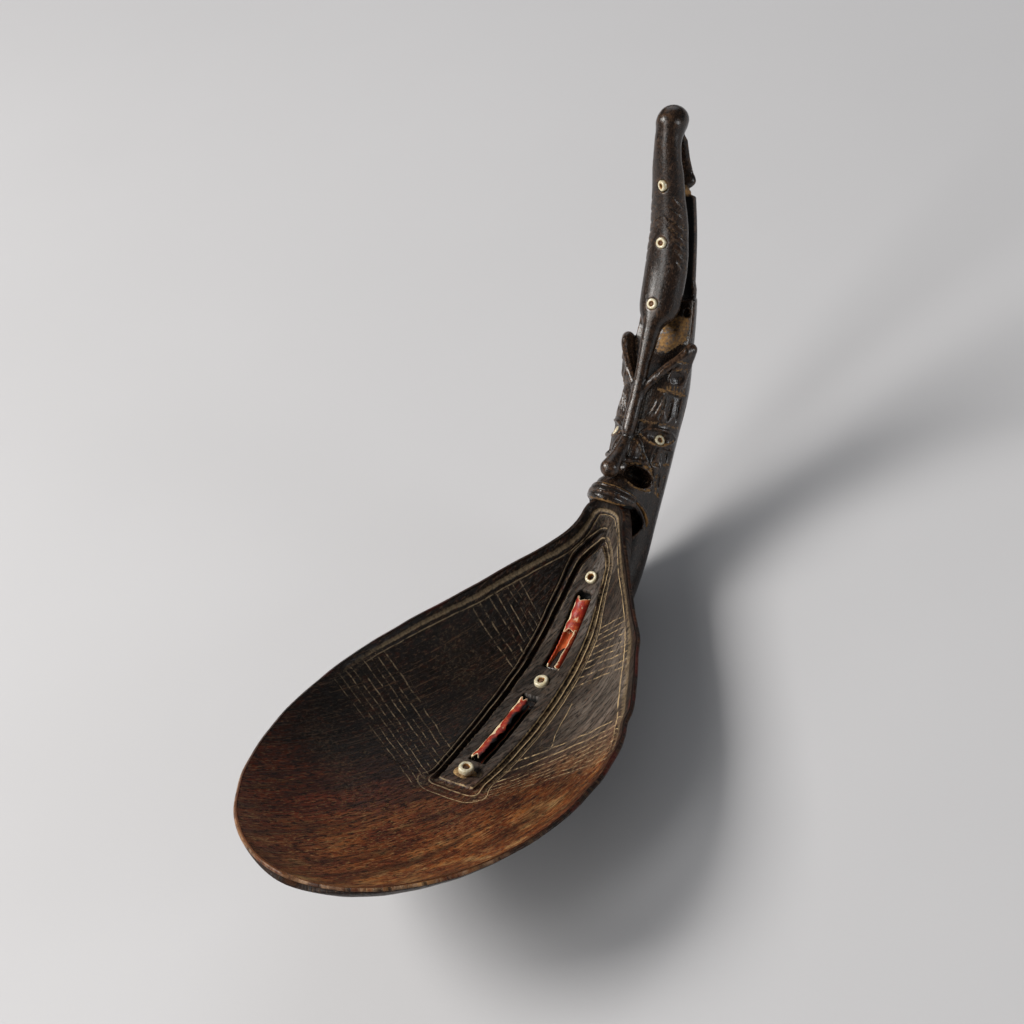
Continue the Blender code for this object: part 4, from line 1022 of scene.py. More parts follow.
# Cut and raised lines: points, radius, dust; a negative radius is raised
cuts = dict(
    earEdges=[([(8.8, 9.6, 44.6), (6.5, 10.7, 41.6), (4.0, 11.4, 38.0), (1.9, 11.9, 34.4)], -0.3, 0.0),
              ([(7.7, 10.8, 41.3), (6.3, 11.3, 39.3), (4.9, 11.5, 36.4), (2.5, 11.2, 32.4), (1.4, 11.6, 29.2)], -0.28,
               0.0)],
    earLines=[([(9.3, 9.6, 42.3), (10.2, 8.1, 42.8), (11.0, 6.1, 43.0)], 0.25, 0.9),
              ([(8.6, 8.4, 39.9), (10.2, 6.9, 40.9), (11.2, 4.2, 40.9)], 0.25, 0.9)],
    ledge=[([(5.0, 9.1, 33.7), (6.7, 8.2, 33.5), (8.1, 6.8, 33.5), (9.2, 4.9, 33.7), (10.0, 2.3, 33.8),
             (10.1, 0.3, 33.9)], 0.42, 0.9),
           ([(7.2, 8.0, 35.0), (7.4, 7.8, 33.9)], 0.2, 0.8), ([(7.9, 7.5, 35.4), (7.9, 6.9, 34.0)], 0.22, 0.8),
           ([(8.6, 6.5, 35.7), (8.5, 5.7, 34.0)], 0.22, 0.8), ([(9.2, 5.5, 35.8), (9.1, 4.7, 34.0)], 0.22, 0.8),
           ([(9.8, 4.1, 35.9), (9.5, 3.1, 34.1)], 0.22, 0.8), ([(10.0, 2.4, 35.9), (9.7, 1.5, 34.1)], 0.2, 0.8)],
    flutes=[([(6.7, 8.1, 31.7), (5.2, 8.8, 25.2)], 0.5, 0.2), ([(7.8, 7.1, 31.9), (6.9, 7.4, 25.4)], 0.5, 0.25),
            ([(9.2, 4.8, 32.3), (8.7, 5.1, 25.5)], 0.55, 0.2), ([(9.9, 2.5, 32.4), (9.8, 1.9, 25.2)], 0.5, 0.2),
            ([(5.3, 9.1, 30.6), (3.9, 9.5, 25.2)], 0.45, 0.2), ([(10.0, -2.5, 32.4), (9.6, -3.4, 25.6)], 0.5, 0.2)],
    brow=[([(1.6, 10.8, 23.4), (2.6, 9.9, 23.6), (4.3, 9.2, 23.5), (7.4, 6.9, 23.8), (9.2, 4.0, 23.9),
            (9.8, -0.9, 24.2), (9.4, -4.0, 24.3)], 0.24, 0.65)],
    lids=[([(2.7, 9.9, 18.6), (3.6, 9.4, 20.4), (5.5, 8.4, 21.7), (7.6, 6.4, 22.2), (9.3, 3.3, 22.2),
            (9.9, -0.5, 20.9)], -0.4, 0.0),
          ([(2.9, 9.9, 18.3), (4.4, 8.9, 18.1), (5.6, 8.1, 17.8), (6.9, 6.9, 17.5), (8.2, 5.2, 17.6),
            (9.6, 2.0, 18.7), (9.9, -0.8, 20.5)], -0.35, 0.0),
          ([(3.2, 9.7, 19.6), (4.8, 8.6, 18.4), (6.9, 7.1, 17.6), (8.9, 4.1, 18.0), (9.8, 0.2, 20.2)], 0.24, 1.0)],
    cheekFlutes=[([(7.9, 5.6, 16.9), (7.3, 6.1, 12.7)], 0.45, 0.15),
                 ([(9.0, 3.7, 17.2), (8.8, 3.3, 11.6)], 0.45, 0.15),
                 ([(9.6, 1.3, 17.4), (9.6, 0.6, 13.5)], 0.45, 0.15), ([(9.0, 2.7, 9.8), (9.2, 1.4, 4.9)], 0.4, 0.15),
                 ([(9.5, -0.8, 9.5), (9.4, -1.0, 3.9)], 0.4, 0.15)],
    creases=[([(1.9, 11.0, 18.2), (3.2, 10.6, 16.6), (4.5, 9.7, 15.0), (5.8, 8.7, 13.5), (7.1, 7.4, 12.0),
               (7.6, 5.7, 10.6), (8.1, 4.7, 9.1)], 0.26, 0.6),
             ([(1.6, 10.9, 10.2), (3.5, 11.2, 10.5), (5.2, 9.8, 10.8), (6.2, 7.4, 10.5), (7.3, 5.7, 9.6),
               (8.1, 4.5, 8.2)], 0.38, 1.0),
             ([(3.9, 12.6, 5.1), (5.9, 10.6, 4.0), (6.9, 7.0, 3.8), (8.2, 4.1, 4.1)], 0.36, 1.0)],
    cheek=[([(7.4, 5.8, 12.2), (8.1, 4.8, 12.0), (8.8, 3.5, 12.0)], 0.5, 0.6),
           ([(9.4, 1.6, 12.6), (9.5, -1.6, 13.0)], 0.28, 0.9),
           ([(8.6, 3.4, 7.0), (8.9, 2.6, 5.3), (9.1, 1.9, 3.5)], 0.3, 0.9),
           ([(8.8, 3.2, 8.5), (9.0, 2.8, 8.4)], 0.6, 0.8), ([(9.5, 0.0, 8.9), (9.5, -0.4, 8.9)], 0.5, 0.8),
           ([(9.2, 0.8, 3.4), (9.3, 0.3, 3.2)], 0.55, 1.0), ([(9.9, 3.1, -7.7), (9.8, 2.6, -8.2)], 0.5, 1.0)],
    lip=[([(8.7, 9.4, 0.4), (9.4, 6.7, -1.2), (10.0, 4.5, -2.9), (10.2, 3.0, -5.0), (9.9, 1.8, -7.0)], 0.36, 0.8)],
    ribs=[([(0.6, 23.1, 82.2), (5.9, 17.7, 80.0)], 0.32, 0.3), ([(1.6, 21.7, 79.5), (6.1, 16.4, 77.1)], 0.32, 0.3),
          ([(2.7, 20.3, 76.8), (6.3, 15.1, 74.5)], 0.32, 0.3), ([(3.8, 18.6, 73.7), (6.5, 13.9, 71.8)], 0.32, 0.3),
          ([(4.8, 16.9, 70.6), (6.5, 13.1, 69.0)], 0.32, 0.3), ([(2.2, 23.9, 84.6), (5.5, 19.6, 82.9)], 0.32, 0.3),
          ([(3.0, 25.1, 87.6), (5.1, 21.4, 85.6)], 0.32, 0.3)],
)


def scoop(up, angle, sink, radii):  # a shallow slope that runs in under an edge above it
    at = skin(up, angle, radii[1] - sink)
    sloped = oval(at, radii, facing(angle))
    shape(lambda x, f, u: np.maximum(sloped(x, f, u), u - up + 0 * x + 0 * f), [at], max(radii) + 2, 0.3, "cut")


for row in figure["scoops"]:
    scoop(*row)
for up, angle, out, radii in figure["sockets"]:
    ovalJob("cut", skin(up, angle, out), radii, 0.3, facing(angle))
for group in cuts.values():
    for points, radius, dust in group:
        groove(points, abs(radius), dust, max(4, 3 * len(points)), radius < 0)
ovalJob("cut", *figure["slotHole"], 0.2)
print("handle: lines")


# Bead seats and peg holes in the handle

def fromRow(p):
    turn = math.radians(rest["lean"] - 90.0)
    c, s = math.cos(turn), math.sin(turn)
    x, y, z = [1000.0 * v for v in p]
    return np.array([x, rest["forward"] - c * y - s * z, rest["up"] - s * y + c * z])


smallBead = dict(radius=1.6, hole=0.62, height=1.7, proud=0.6)
# node, how far it is sunk below the others, how it leans
handleBeads = [("back_bead_upper", 0.35, 30.0), ("back_bead_middle", 0.0, 0.0), ("back_bead_lower", 0.0, 0.0),
               ("eye_bead_left", 0.1, 0.0), ("eye_bead_right", 0.1, 0.0)]
pegHoles = dict(places=(24.0, 50.8), radius=1.42, start=3.0, end=30.0)  # along the bowl, then depth under its floor
beadPlaces = {}
for node, sunk, leaning in handleBeads:
    low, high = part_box(node)
    centre = fromRow((low + high) / 2)
    top = settle([centre])[0]
    axis = np.array([fieldAt(top + e) - fieldAt(top - e) for e in np.eye(3) * 0.9])
    axis[0] = 0.0 if abs(centre[0]) < 1 else axis[0]
    axis = axis / np.linalg.norm(axis)
    side = np.sign(centre[0]) if abs(centre[0]) > 1 else 0.0
    shift = np.array([-0.45, 0.6, 0.9]) if leaning else 0.0
    moved = settle([top + np.array([0.4 * side, -0.55 * abs(side), 0.0]) + shift])[0]
    beadPlaces[node] = (moved - axis * sunk, axis, leaning)
for node, (top, axis, leaning) in beadPlaces.items():
    if top[0] > -1:
        wide = smallBead["radius"] + (0.45 if leaning else 0.08)
        low = top - axis * (smallBead["height"] - smallBead["proud"] + (0.6 if leaning else 0.0))
        barJob("cut", [(*(low + axis * wide * 0.5), wide), (*(top + axis * 3.0), wide)], 0.15, dust=0.5,
               dustReach=0.3)
for s in pegHoles["places"]:
    p, n, _ = floorFrame(np.array(s), np.array(0.0))
    barJob("cut", [(*(p - n * pegHoles[end]), pegHoles["radius"]) for end in ("start", "end")], 0.1)

# The flat it rests on, and room for the bowl
lean = math.radians(rest["lean"])
cut, x, f, u = block(handle["low"], (14, 44, -10))
flat = (f - handle["heel"][0]) * math.cos(lean) + (u - handle["heel"][1]) * math.sin(lean)
field[cut] = -softMin(-field[cut], np.broadcast_to(flat, field[cut].shape).astype(np.float32), 0.3)
bowlTree = BVHTree.FromPolygons(bowlPoints.tolist(), bowlFaces)
nearBowl = np.argwhere((field < 1.2) & (axisU[None, None, :] < 6) & (axisF[None, :, None] > -6))


def bowlGap(at):  # way out of the bowl and how far outside it a place is; inside there is a face beyond it too
    spot = Vector(at)
    hit, normal, _, gap = bowlTree.find_nearest(spot, 4.0)
    if hit is None:
        return (0, 0, 0), 4.0
    away = spot - hit
    if away.dot(normal) < 0:
        beyond, leaving, _, _ = bowlTree.ray_cast(spot, away, 12.0)
        if beyond is not None and leaving.dot(away) > 0:
            return normal, -gap
    return away.normalized(), gap


for i, j, k in nearBowl:
    field[i, j, k] = max(field[i, j, k], handle["clear"] - bowlGap((axisX[i], axisF[j], axisU[k]))[1])
print("handle: fitted to the bowl,", len(nearBowl), "places")

# Skin over the field: one point in each cell that the surface crosses
full = np.concatenate([field[:0:-1], field])
fullDust = np.concatenate([dustField[:0:-1], dustField])
fullX = np.concatenate([-axisX[:0:-1], axisX])
inside = full < 0
corner = [(i, j, k) for i in (0, 1) for j in (0, 1) for k in (0, 1)]
size = [n - 1 for n in full.shape]
count = sum(inside[i:i + size[0], j:j + size[1], k:k + size[2]].astype(np.int8) for i, j, k in corner)
cells = np.argwhere((count > 0) & (count < 8))
number = -np.ones(size, np.int64)
number[tuple(cells.T)] = np.arange(len(cells))
values = np.stack([full[tuple((cells + c).T)] for c in corner], 1)
total, weight = np.zeros((len(cells), 3)), np.zeros(len(cells))
for a in range(8):
    for b in range(a + 1, 8):
        step = np.array(corner[b]) - np.array(corner[a])
        if np.abs(step).sum() != 1:
            continue
        crosses = (values[:, a] < 0) != (values[:, b] < 0)
        t = values[:, a] / np.where(crosses, values[:, a] - values[:, b], 1)
        total += np.where(crosses[:, None], np.array(corner[a]) + t[:, None] * step, 0)
        weight += crosses
local = total / weight[:, None]
skinPoints = (cells + local) * handle["voxel"] + np.array([fullX[0], axisF[0], axisU[0]])
faces = []
for axis in range(3):
    one = np.eye(3, dtype=int)[axis]
    sideA, sideB = [np.eye(3, dtype=int)[(axis + k) % 3] for k in (1, 2)]
    low = tuple(slice(0, n - o) for n, o in zip(full.shape, one))
    high = tuple(slice(o, n) for n, o in zip(full.shape, one))
    edge = np.argwhere(inside[low] != inside[high])
    edge = edge[(edge[:, (axis + 1) % 3] > 0) & (edge[:, (axis + 2) % 3] > 0)]
    ring = [number[tuple((edge - m).T)] for m in (0 * one, sideA, sideA + sideB, sideB)]
    quad = np.stack(ring, 1)
    outward = inside[tuple(edge.T)]
    quad[~outward] = quad[~outward][:, ::-1]
    faces.append(quad[(quad >= 0).all(1)])
faces = np.concatenate(faces)


def sample(grid, p):
    spot = (p - np.array([fullX[0], axisF[0], axisU[0]])) / handle["voxel"]
    cell = np.clip(spot.astype(int), 0, np.array(grid.shape) - 2)
    w = spot - cell
    total = np.zeros(len(p))
    for c in corner:
        share = np.prod([np.where(c[k], w[:, k], 1 - w[:, k]) for k in range(3)], axis=0)
        total += share * grid[tuple((cell + np.array(c)).T)]
    return total


def slopeAt(p, reach):
    return np.stack([sample(full, p + e) - sample(full, p - e) for e in np.eye(3) * reach], -1)


for _ in range(2):  # draws the points onto the surface
    grad = slopeAt(skinPoints, 0.2) / 0.4
    move = sample(full, skinPoints)[:, None] * grad / np.maximum((grad ** 2).sum(-1, keepdims=True), 0.2)
    skinPoints = skinPoints - np.clip(move, -0.2, 0.2)
normal = unit(slopeAt(skinPoints, 0.3))

# Hollows and ridges by how far the surface lies from its own average
pairs = np.concatenate([faces[:, [0, 1]], faces[:, [1, 2]], faces[:, [2, 3]], faces[:, [3, 0]]])
smoothed = skinPoints.copy()
degree = np.bincount(pairs.ravel(), minlength=len(smoothed)).astype(float)
for _ in range(10):
    near = np.stack([np.bincount(pairs[:, 0], smoothed[pairs[:, 1], k], len(smoothed)) +
                     np.bincount(pairs[:, 1], smoothed[pairs[:, 0], k], len(smoothed)) for k in range(3)], -1)
    smoothed = near / degree[:, None]
hollow = ((smoothed - skinPoints) * normal).sum(-1)
paintedShadeMask = np.zeros(len(skinPoints))
skinX, skinF, skinU = skinPoints.T
for label in ("mouth", "throat"):  # painted shade: near-black inside
    at, radii, *turn = figure[label]
    deepness = oval(at, [r * 0.92 for r in radii], facing(*turn))(np.abs(skinX), skinF, skinU)
    hollow = hollow * step01(deepness, 0.1, 0.5)
    paintedShadeMask = np.maximum(paintedShadeMask, (deepness < -0.15).astype(float))
# Painted shadow under the lip's right end
gap = oval(*figure["underLip"])(np.abs(skinX), skinF, skinU)
paintedShadeMask = np.maximum(paintedShadeMask, (gap < 0).astype(float))
# Painted shade in the slot between the body and its spine
level = np.interp(skinU, axisU, spineMid)
inSlot = (skinU > 60.5) & (skinU < 90) & (np.abs(skinF - level - 1.6) < 1.2)
paintedShadeMask = np.where(inSlot & (np.abs(skinX) < 4.3), 1.0, paintedShadeMask)
dustAndShade = np.clip(sample(fullDust, skinPoints), 0, 1) * np.where(skinX < -0.5, 0.55, 1.0)
dustAndShade = np.where(paintedShadeMask > 0.5, -1.0, dustAndShade)
handleMarks = {
    "grain": skinPoints[:, [2, 0, 1]],
    "tone": np.stack([dustAndShade, np.clip(hollow / 0.22, 0, 1), np.clip(-hollow / 0.16, 0, 1)], -1),
}
# Only plain stretches may be thinned later
busy = (dustAndShade > 0.02) | (np.abs(hollow) > 0.06)
near = busy[pairs[:, 0]] | busy[pairs[:, 1]]
busy = np.bincount(pairs[near].ravel(), minlength=len(busy)) > 0
print("handle:", len(faces), "faces,", int(busy.sum()), "of", len(busy), "points kept")


def tubeFaces(first, rows, sides):
    n, m = np.meshgrid(np.arange(rows - 1), np.arange(sides), indexing="ij")
    after = (m + 1) % sides
    corners = ((n, m), (n + 1, m), (n + 1, after), (n, after))
    return np.stack([first + row * sides + side for row, side in corners], -1).reshape(-1, 4)


# Lips: smooth rolls over the core as (x, forward, up, depth, height), wear, then dust on the upper and lower
# side, in front and far round; below zero is painted shade in the valleys between the rolls
lips = dict(
    steps=6, sides=14, axisForward=5.5,
    upper=([(0, 17.5, 2.3, 0.85, 0.74), (2.4, 16.7, 2.2, 0.85, 0.74), (4.4, 14.8, 1.8, 0.85, 0.74),
            (6.0, 12.6, 1.1, 0.85, 0.72), (7.2, 10.4, 0.3, 0.8, 0.64), (8.2, 8.4, -0.9, 0.75, 0.56),
            (8.9, 6.4, -2.2, 0.7, 0.5), (9.3, 5.0, -3.6, 0.65, 0.5), (9.5, 3.9, -5.1, 0.6, 0.5),
            (9.4, 3.1, -6.8, 0.5, 0.45)], 0.4, (0.8, -1.0), (0.3, 1.0)),
    middle=([(0, 18.5, 0.95, 0.85, 0.66), (2.6, 17.6, 0.9, 0.85, 0.66), (4.8, 15.4, 0.55, 0.8, 0.66),
             (6.3, 12.9, -0.15, 0.75, 0.64), (7.3, 10.8, -0.95, 0.65, 0.58), (8.0, 8.8, -2.1, 0.6, 0.5),
             (8.5, 7.0, -3.4, 0.6, 0.5), (8.7, 5.4, -4.8, 0.55, 0.5),
             (8.7, 4.3, -6.2, 0.5, 0.45)], 0.1, (-1.0, -1.0), (1.0, -0.3)),
    lower=([(0, 18.3, -1.05, 1.1, 1.35), (2.6, 17.4, -1.1, 1.1, 1.35), (4.7, 15.2, -1.35, 1.0, 1.15),
            (6.0, 13.0, -1.6, 0.8, 0.85), (7.0, 11.0, -1.95, 0.5, 0.5)], 0.1, (-1.0, 1.0), (-1.0, 0.4)),
)
turn = np.linspace(0, 2 * math.pi, lips["sides"], endpoint=False)
for label in ("upper", "middle", "lower"):
    rows, wear, front, far = lips[label]
    rows = np.asarray(rows, float)
    rows = np.concatenate([rows[:0:-1] * (-1, 1, 1, 1, 1), rows])
    along = np.linspace(0, len(rows) - 1, (len(rows) - 1) * lips["steps"] + 1)
    line = np.stack([smoothCurve(list(enumerate(rows[:, k])), along) for k in range(5)], -1)
    line[:, 3:] *= np.sqrt(np.clip(np.minimum(along, along[-1] - along), 0.01, 1))[:, None]
    way = unit(np.gradient(line[:, :3], axis=0))
    out = line[:, :3] * (1, 1, 0) - (0, lips["axisForward"], 0)
    out = unit(out - (out * way).sum(-1, keepdims=True) * way)
    side = np.cross(way, out)
    tube = line[:, None, :3] + line[:, None, 3:4] * np.cos(turn)[:, None] * out[:, None]
    tube = (tube + line[:, None, 4:] * np.sin(turn)[:, None] * side[:, None]).reshape(-1, 3)
    for n, spot in enumerate(tube):  # keeps clear of the bowl
        outward, gap = bowlGap(spot)
        tube[n] += np.array(outward) * max(handle["clear"] - gap, 0)
    # Positive flanks are dust, negative flanks are painted shade in the valleys
    flanks = [above * step01(np.sin(turn), 0.3, 0.8) + below * step01(-np.sin(turn), 0.3, 0.8)
              for above, below in (front, far)]
    flank = flanks[0] + (flanks[1] - flanks[0]) * step01(np.abs(line[:, :1]), 6.0, 7.4)
    flank = flank.ravel() * np.where((tube[:, 0] < -0.5) & (flank.ravel() > 0), 0.55, 1.0)
    worn = np.tile(wear * np.clip(np.cos(turn), 0, 1), len(along))
    faces = np.concatenate([faces, tubeFaces(len(skinPoints), len(along), lips["sides"])])
    skinPoints = np.concatenate([skinPoints, tube])
    handleMarks["grain"] = np.concatenate([handleMarks["grain"], tube[:, [2, 0, 1]]])
    handleMarks["tone"] = np.concatenate([handleMarks["tone"], np.stack([flank, 0 * flank, worn], -1)])
    busy = np.concatenate([busy, np.ones(len(tube), bool)])
print("handle: lips")

handleLook = dict(
    black=(0.0050, 0.0044, 0.0042, 1), brown=(0.019, 0.0100, 0.0062, 1), rub=(0.135, 0.070, 0.036, 1),
    dust=(0.42, 0.235, 0.078, 1), soil=(0.21, 0.108, 0.036, 1), shade=(0.0014, 0.0012, 0.0011, 1),
)
handleMaterial, tree, shader = newMaterial("handleHorn", Specular_IOR_Level=0.45)
grain = mark(tree, "grain")
tones = parted(mark(tree, "tone"))
fibre = useGroup(fibres, {"Place": grain, "Scale": 1.1, "Length": 5.0})
colour = blend(times(fibre["Streak"], 0.8), handleLook["black"], handleLook["brown"])
wear = useGroup(rubbing, {"Place": grain, "Edge": tones[2], "Amount": 0.8})
colour = blend(times(wear["Mask"], 0.7), colour, handleLook["rub"])
recess = larger(tones[0], times(tones[1], 0.28))
dust = useGroup(dusting, {"Place": grain, "Recess": recess, "Amount": 0.88, "Scale": 1.1, "Break": 1.05})
mottle = spread(noise(grain, 0.75, 5.0, 0.72, (0.4, 1.0, 1.0)), 0.55, 0.67)
colour = blend(times(larger(fibre["Fleck"], mottle), 0.34), colour, handleLook["rub"])
crumbs = spread(noise(grain, 1.3, 5.0, 0.75), 0.40, 0.60)
settled = blend(times(crumbs, spread(dust["Tone"], 0.3, 0.55, 0.4, 1.0)), handleLook["soil"], handleLook["dust"])
colour = blend(dust["Mask"], colour, settled)
# Painted shade: near-black inside the mouth, throat and slot, and under the lip
paintedShade = spread(tones[0], -0.15, -0.7)
fill(shader.inputs["Base Color"], blend(paintedShade, colour, handleLook["shade"]))
rough = plus(0.25, times(plus(fibre["Fleck"], mottle), 0.14))
fill(shader.inputs["Roughness"], plus(rough, times(larger(dust["Mask"], paintedShade), 0.65), True))
grit = plus(times(fibre["Fleck"], 0.4), noise(grain, 1.7, 3.0, 0.7, (0.5, 1.0, 1.0)))
grit = plus(grit, times(times(crumbs, dust["Mask"]), 2.5))
bumped(shader, minus(grit, times(wear["Hairline"], 0.6)), 0.2, 0.0002)
carved = makePiece("handleCarved", toRow(skinPoints), faces, handleMaterial, ["handle"], handleMarks)
carved.vertex_groups.new(name="plain").add(np.flatnonzero(~busy).tolist(), 1.0, "REPLACE")
thin = carved.modifiers.new("thin", "DECIMATE")
thin.ratio = min(1.0, handle["mostFaces"] / len(faces))
thin.vertex_group = "plain"
print("handle finished")


# Inlays: beads, their pegs and putty, and the curled strips in the windows

def frameOf(axis):
    axis = unit(np.asarray(axis, float))
    side = unit(np.cross(axis, [0.0, 0.3, 1.0]))
    return side, np.cross(axis, side), axis


def turnedMesh(profile, foot, axis, segments, seed, rough=0.03,
               closed=True):  # profile of (radius, height), turned round axis
    side, other, axis = frameOf(axis)
    profile = np.asarray(profile, float)
    angle = np.linspace(0, 2 * math.pi, segments, endpoint=False)
    rng = np.random.default_rng(seed)
    wave = sum(rng.normal(0, rough / (k ** 0.6)) * np.cos(k * angle + rng.uniform(0, 6.28)) for k in range(2, 7))
    girth = profile[:, 0][:, None] * (1 + wave[None, :])
    tall = profile[:, 1][:, None] + 0.35 * rough * np.sin(3 * angle + seed)[None, :] * profile[:, 0][:, None]
    spoke = np.cos(angle)[None, :, None] * side + np.sin(angle)[None, :, None] * other
    pts = np.asarray(foot) + girth[..., None] * spoke + tall[..., None] * axis
    rows = len(profile)
    quads = []
    for i in range(rows if closed else rows - 1):
        for j in range(segments):
            a, b = i * segments + j, i * segments + (j + 1) % segments
            c, d = ((i + 1) % rows) * segments + (j + 1) % segments, ((i + 1) % rows) * segments + j
            quads.append([a, b, c, d])
    return pts.reshape(-1, 3), quads, np.repeat(profile[:, 0], segments), np.repeat(profile[:, 1], segments)


def ringProfile(radius, hole, height, steps=5):
    soft = min(0.46 * (radius - hole), 0.42 * height)
    corners = ((hole, 0, 1, 1), (radius, 0, -1, 1), (radius, height, -1, -1), (hole, height, 1, -1))
    out = []
    for k, (r, h, dr, dh) in enumerate(corners):
        for t in np.linspace(0, math.pi / 2, steps):
            turn = math.pi * (1 + k / 2) + t
            out.append((r + dr * soft + soft * math.cos(turn), h + dh * soft + soft * math.sin(turn)))
    return out


beadLook = dict(cream=(0.55, 0.47, 0.29, 1), pale=(0.67, 0.62, 0.47, 1), amber=(0.30, 0.14, 0.035, 1))
beadMaterial, tree, shader = newMaterial("beadGlass", Coat_Weight=0.3)
grain = mark(tree, "grain")
tones = parted(mark(tree, "tone"))
cloudy = noise(grain, 1.3, 4.0, 0.6)
colour = blend(spread(cloudy, 0.35, 0.65), beadLook["cream"], beadLook["pale"])
grime = useGroup(dusting, {"Place": grain, "Recess": tones[0], "Amount": 1.6, "Scale": 1.4})
colour = blend(grime["Mask"], colour, beadLook["amber"])
fill(shader.inputs["Base Color"], colour)
fill(shader.inputs["Roughness"], spread(cloudy, 0.2, 0.8, 0.16, 0.42))
bumped(shader, noise(grain, 2.6, 3.0), 0.15, 0.0002)

plugLook = dict(dark=(0.030, 0.013, 0.006, 1), light=(0.20, 0.085, 0.026, 1))
plugMaterial, tree, shader = newMaterial("plugHorn", Roughness=0.6)
grain = mark(tree, "grain")
fibre = useGroup(fibres, {"Place": grain, "Scale": 2.4, "Length": 2.0})
fill(shader.inputs["Base Color"], blend(fibre["Streak"], plugLook["dark"], plugLook["light"]))
bumped(shader, fibre["Fleck"], 0.4, 0.0002)

puttyLook = dict(tan=(0.40, 0.25, 0.10, 1), dark=(0.15, 0.085, 0.035, 1))
puttyMaterial, tree, shader = newMaterial("bedPutty", Roughness=0.85)
grain = mark(tree, "grain")
crumbs = noise(grain, 2.2, 5.0, 0.7)
fill(shader.inputs["Base Color"], blend(spread(crumbs, 0.38, 0.62), puttyLook["dark"], puttyLook["tan"]))
bumped(shader, crumbs, 0.6, 0.0004)


def addBead(name, node, foot, axis, radius, hole, height, seed):
    pts, quads, away, tall = turnedMesh(ringProfile(radius, hole, height), foot, axis, 40, seed, 0.02)
    grime = np.clip(1 - (away - hole) / 0.32, 0, 1) + np.clip(1 - tall / (0.5 * height), 0, 1) * 0.8
    tone = np.stack([np.clip(grime, 0, 1), 0 * away, 0 * away], -1)
    makePiece(name, toRow(pts), quads, beadMaterial, [node], {"grain": pts, "tone": tone})


def addPlug(name, node, foot, axis, radius, height, seed):
    profile = [(0.02, 0.0), (radius * 0.8, 0.05), (radius, 0.35), (radius * 0.98, height - 0.28),
               (radius * 0.86, height - 0.1), (radius * 0.55, height), (radius * 0.25, height - 0.05),
               (0.02, height - 0.08)]
    pts, quads, away, tall = turnedMesh(profile, foot, axis, 24, seed, 0.05, False)
    makePiece(name, toRow(pts), quads, plugMaterial, [node], {"grain": pts})


panelBead = dict(radius=2.2, hole=0.85, height=2.3, sunk=1.4, lean=14.0, bed=3.0, bedThick=1.4,
                 upperRadius=1.9, upperShift=0.3)
for seed, (label, s) in enumerate(zip(("Upper", "Middle", "Lower"), panel["beads"]), 1):
    p, axis, way = floorFrame(np.array(s), np.array(0.0))
    p = p + axis * panel["rise"]
    base = -panelBead["sunk"]
    radius = panelBead["radius"]
    if label == "Upper":
        p = p + np.array([panelBead["upperShift"], 0.0, 0.0])
        radius = panelBead["upperRadius"]
    if label == "Lower":
        turn = np.array(Matrix.Rotation(math.radians(panelBead["lean"]), 3, Vector(way)))
        axis = turn @ axis
        profile = ringProfile(panelBead["bed"], panelBead["hole"], panelBead["bedThick"])
        pts, quads, away, tall = turnedMesh(profile, p + axis * base, axis, 48, 9, 0.09)
        pts = pts + (0.12 * ripple(pts[:, 0], pts[:, 2], 1.3, 21))[:, None] * axis
        makePiece("bedPuttyRing", toRow(pts), quads, puttyMaterial, ["panel_bed_lower"], {"grain": pts})
        base += panelBead["bedThick"] + 0.3
    addBead("panelBead" + label, "panel_bead_" + label.lower(), p + axis * base, axis, radius, panelBead["hole"],
            panelBead["height"], seed)
    if label != "Upper":
        foot = -panelBead["sunk"] - 1.0
        addPlug("panelPlug" + label, "panel_plug_" + label.lower(), p + axis * foot, axis, panelBead["hole"] - 0.06,
                base + panelBead["height"] - 0.4 - foot, seed + 10)
for k, (node, (top, axis, leaning)) in enumerate(beadPlaces.items()):
    part = node.split("_")
    label = part[0] + "Bead" + part[2].capitalize()
    tilted = np.array(Matrix.Rotation(math.radians(leaning), 3, "Z")) @ axis
    foot = top + axis * smallBead["proud"] - tilted * smallBead["height"]
    addBead(label, node, foot, tilted, smallBead["radius"], smallBead["hole"], smallBead["height"], 30 + k)
    if not leaning:
        addPlug(label.replace("Bead", "Plug"), node.replace("bead", "plug"), foot - axis * 0.9, axis,
                smallBead["hole"] - 0.05,
                smallBead["height"] + 0.62, 40 + k)
print("beads finished")

# Curled strips: start and end along the bowl, side, opening and where it faces in degrees from straight out,
# which long edges are worn pale, the angles past which it is bare on the left and painted in shadow on the right
rolls = [
    dict(name="rollUpper", node="inlay_roll_upper", start=25.2, end=35.4, side=0.2, wide=2.3, tall=1.55, opening=44,
         facing=172, torn=1.5, pale=(1, 1), bare=400, paintedShadow=-400, seed=3),
    dict(name="rollMiddle", node="inlay_roll_middle", start=35.0, end=45.0, side=0.2, wide=2.3, tall=1.5, opening=108,
         facing=22, torn=1.3, pale=(0, 1), bare=400, paintedShadow=-400, seed=4),
    dict(name="rollLower", node="inlay_roll_lower", start=58.6, end=83.6, side=-0.8, wide=2.0, tall=1.65, opening=104,
         facing=-88, torn=1.4, pale=(0, 0), bare=30, paintedShadow=-22, seed=5),
]
rollSize = dict(radius=1.75, wall=0.5, floor=-1.45, along=90, around=48)
rollLook = dict(red=(0.37, 0.023, 0.010, 1), deep=(0.17, 0.012, 0.008, 1), orange=(0.60, 0.13, 0.035, 1),
                cream=(0.74, 0.58, 0.36, 1), paintedShadow=(0.004, 0.0022, 0.002, 1))
rollMaterial, tree, shader = newMaterial("rollRed", Specular_IOR_Level=0.35)
grain = mark(tree, "grain")
tones = parted(mark(tree, "tone"))
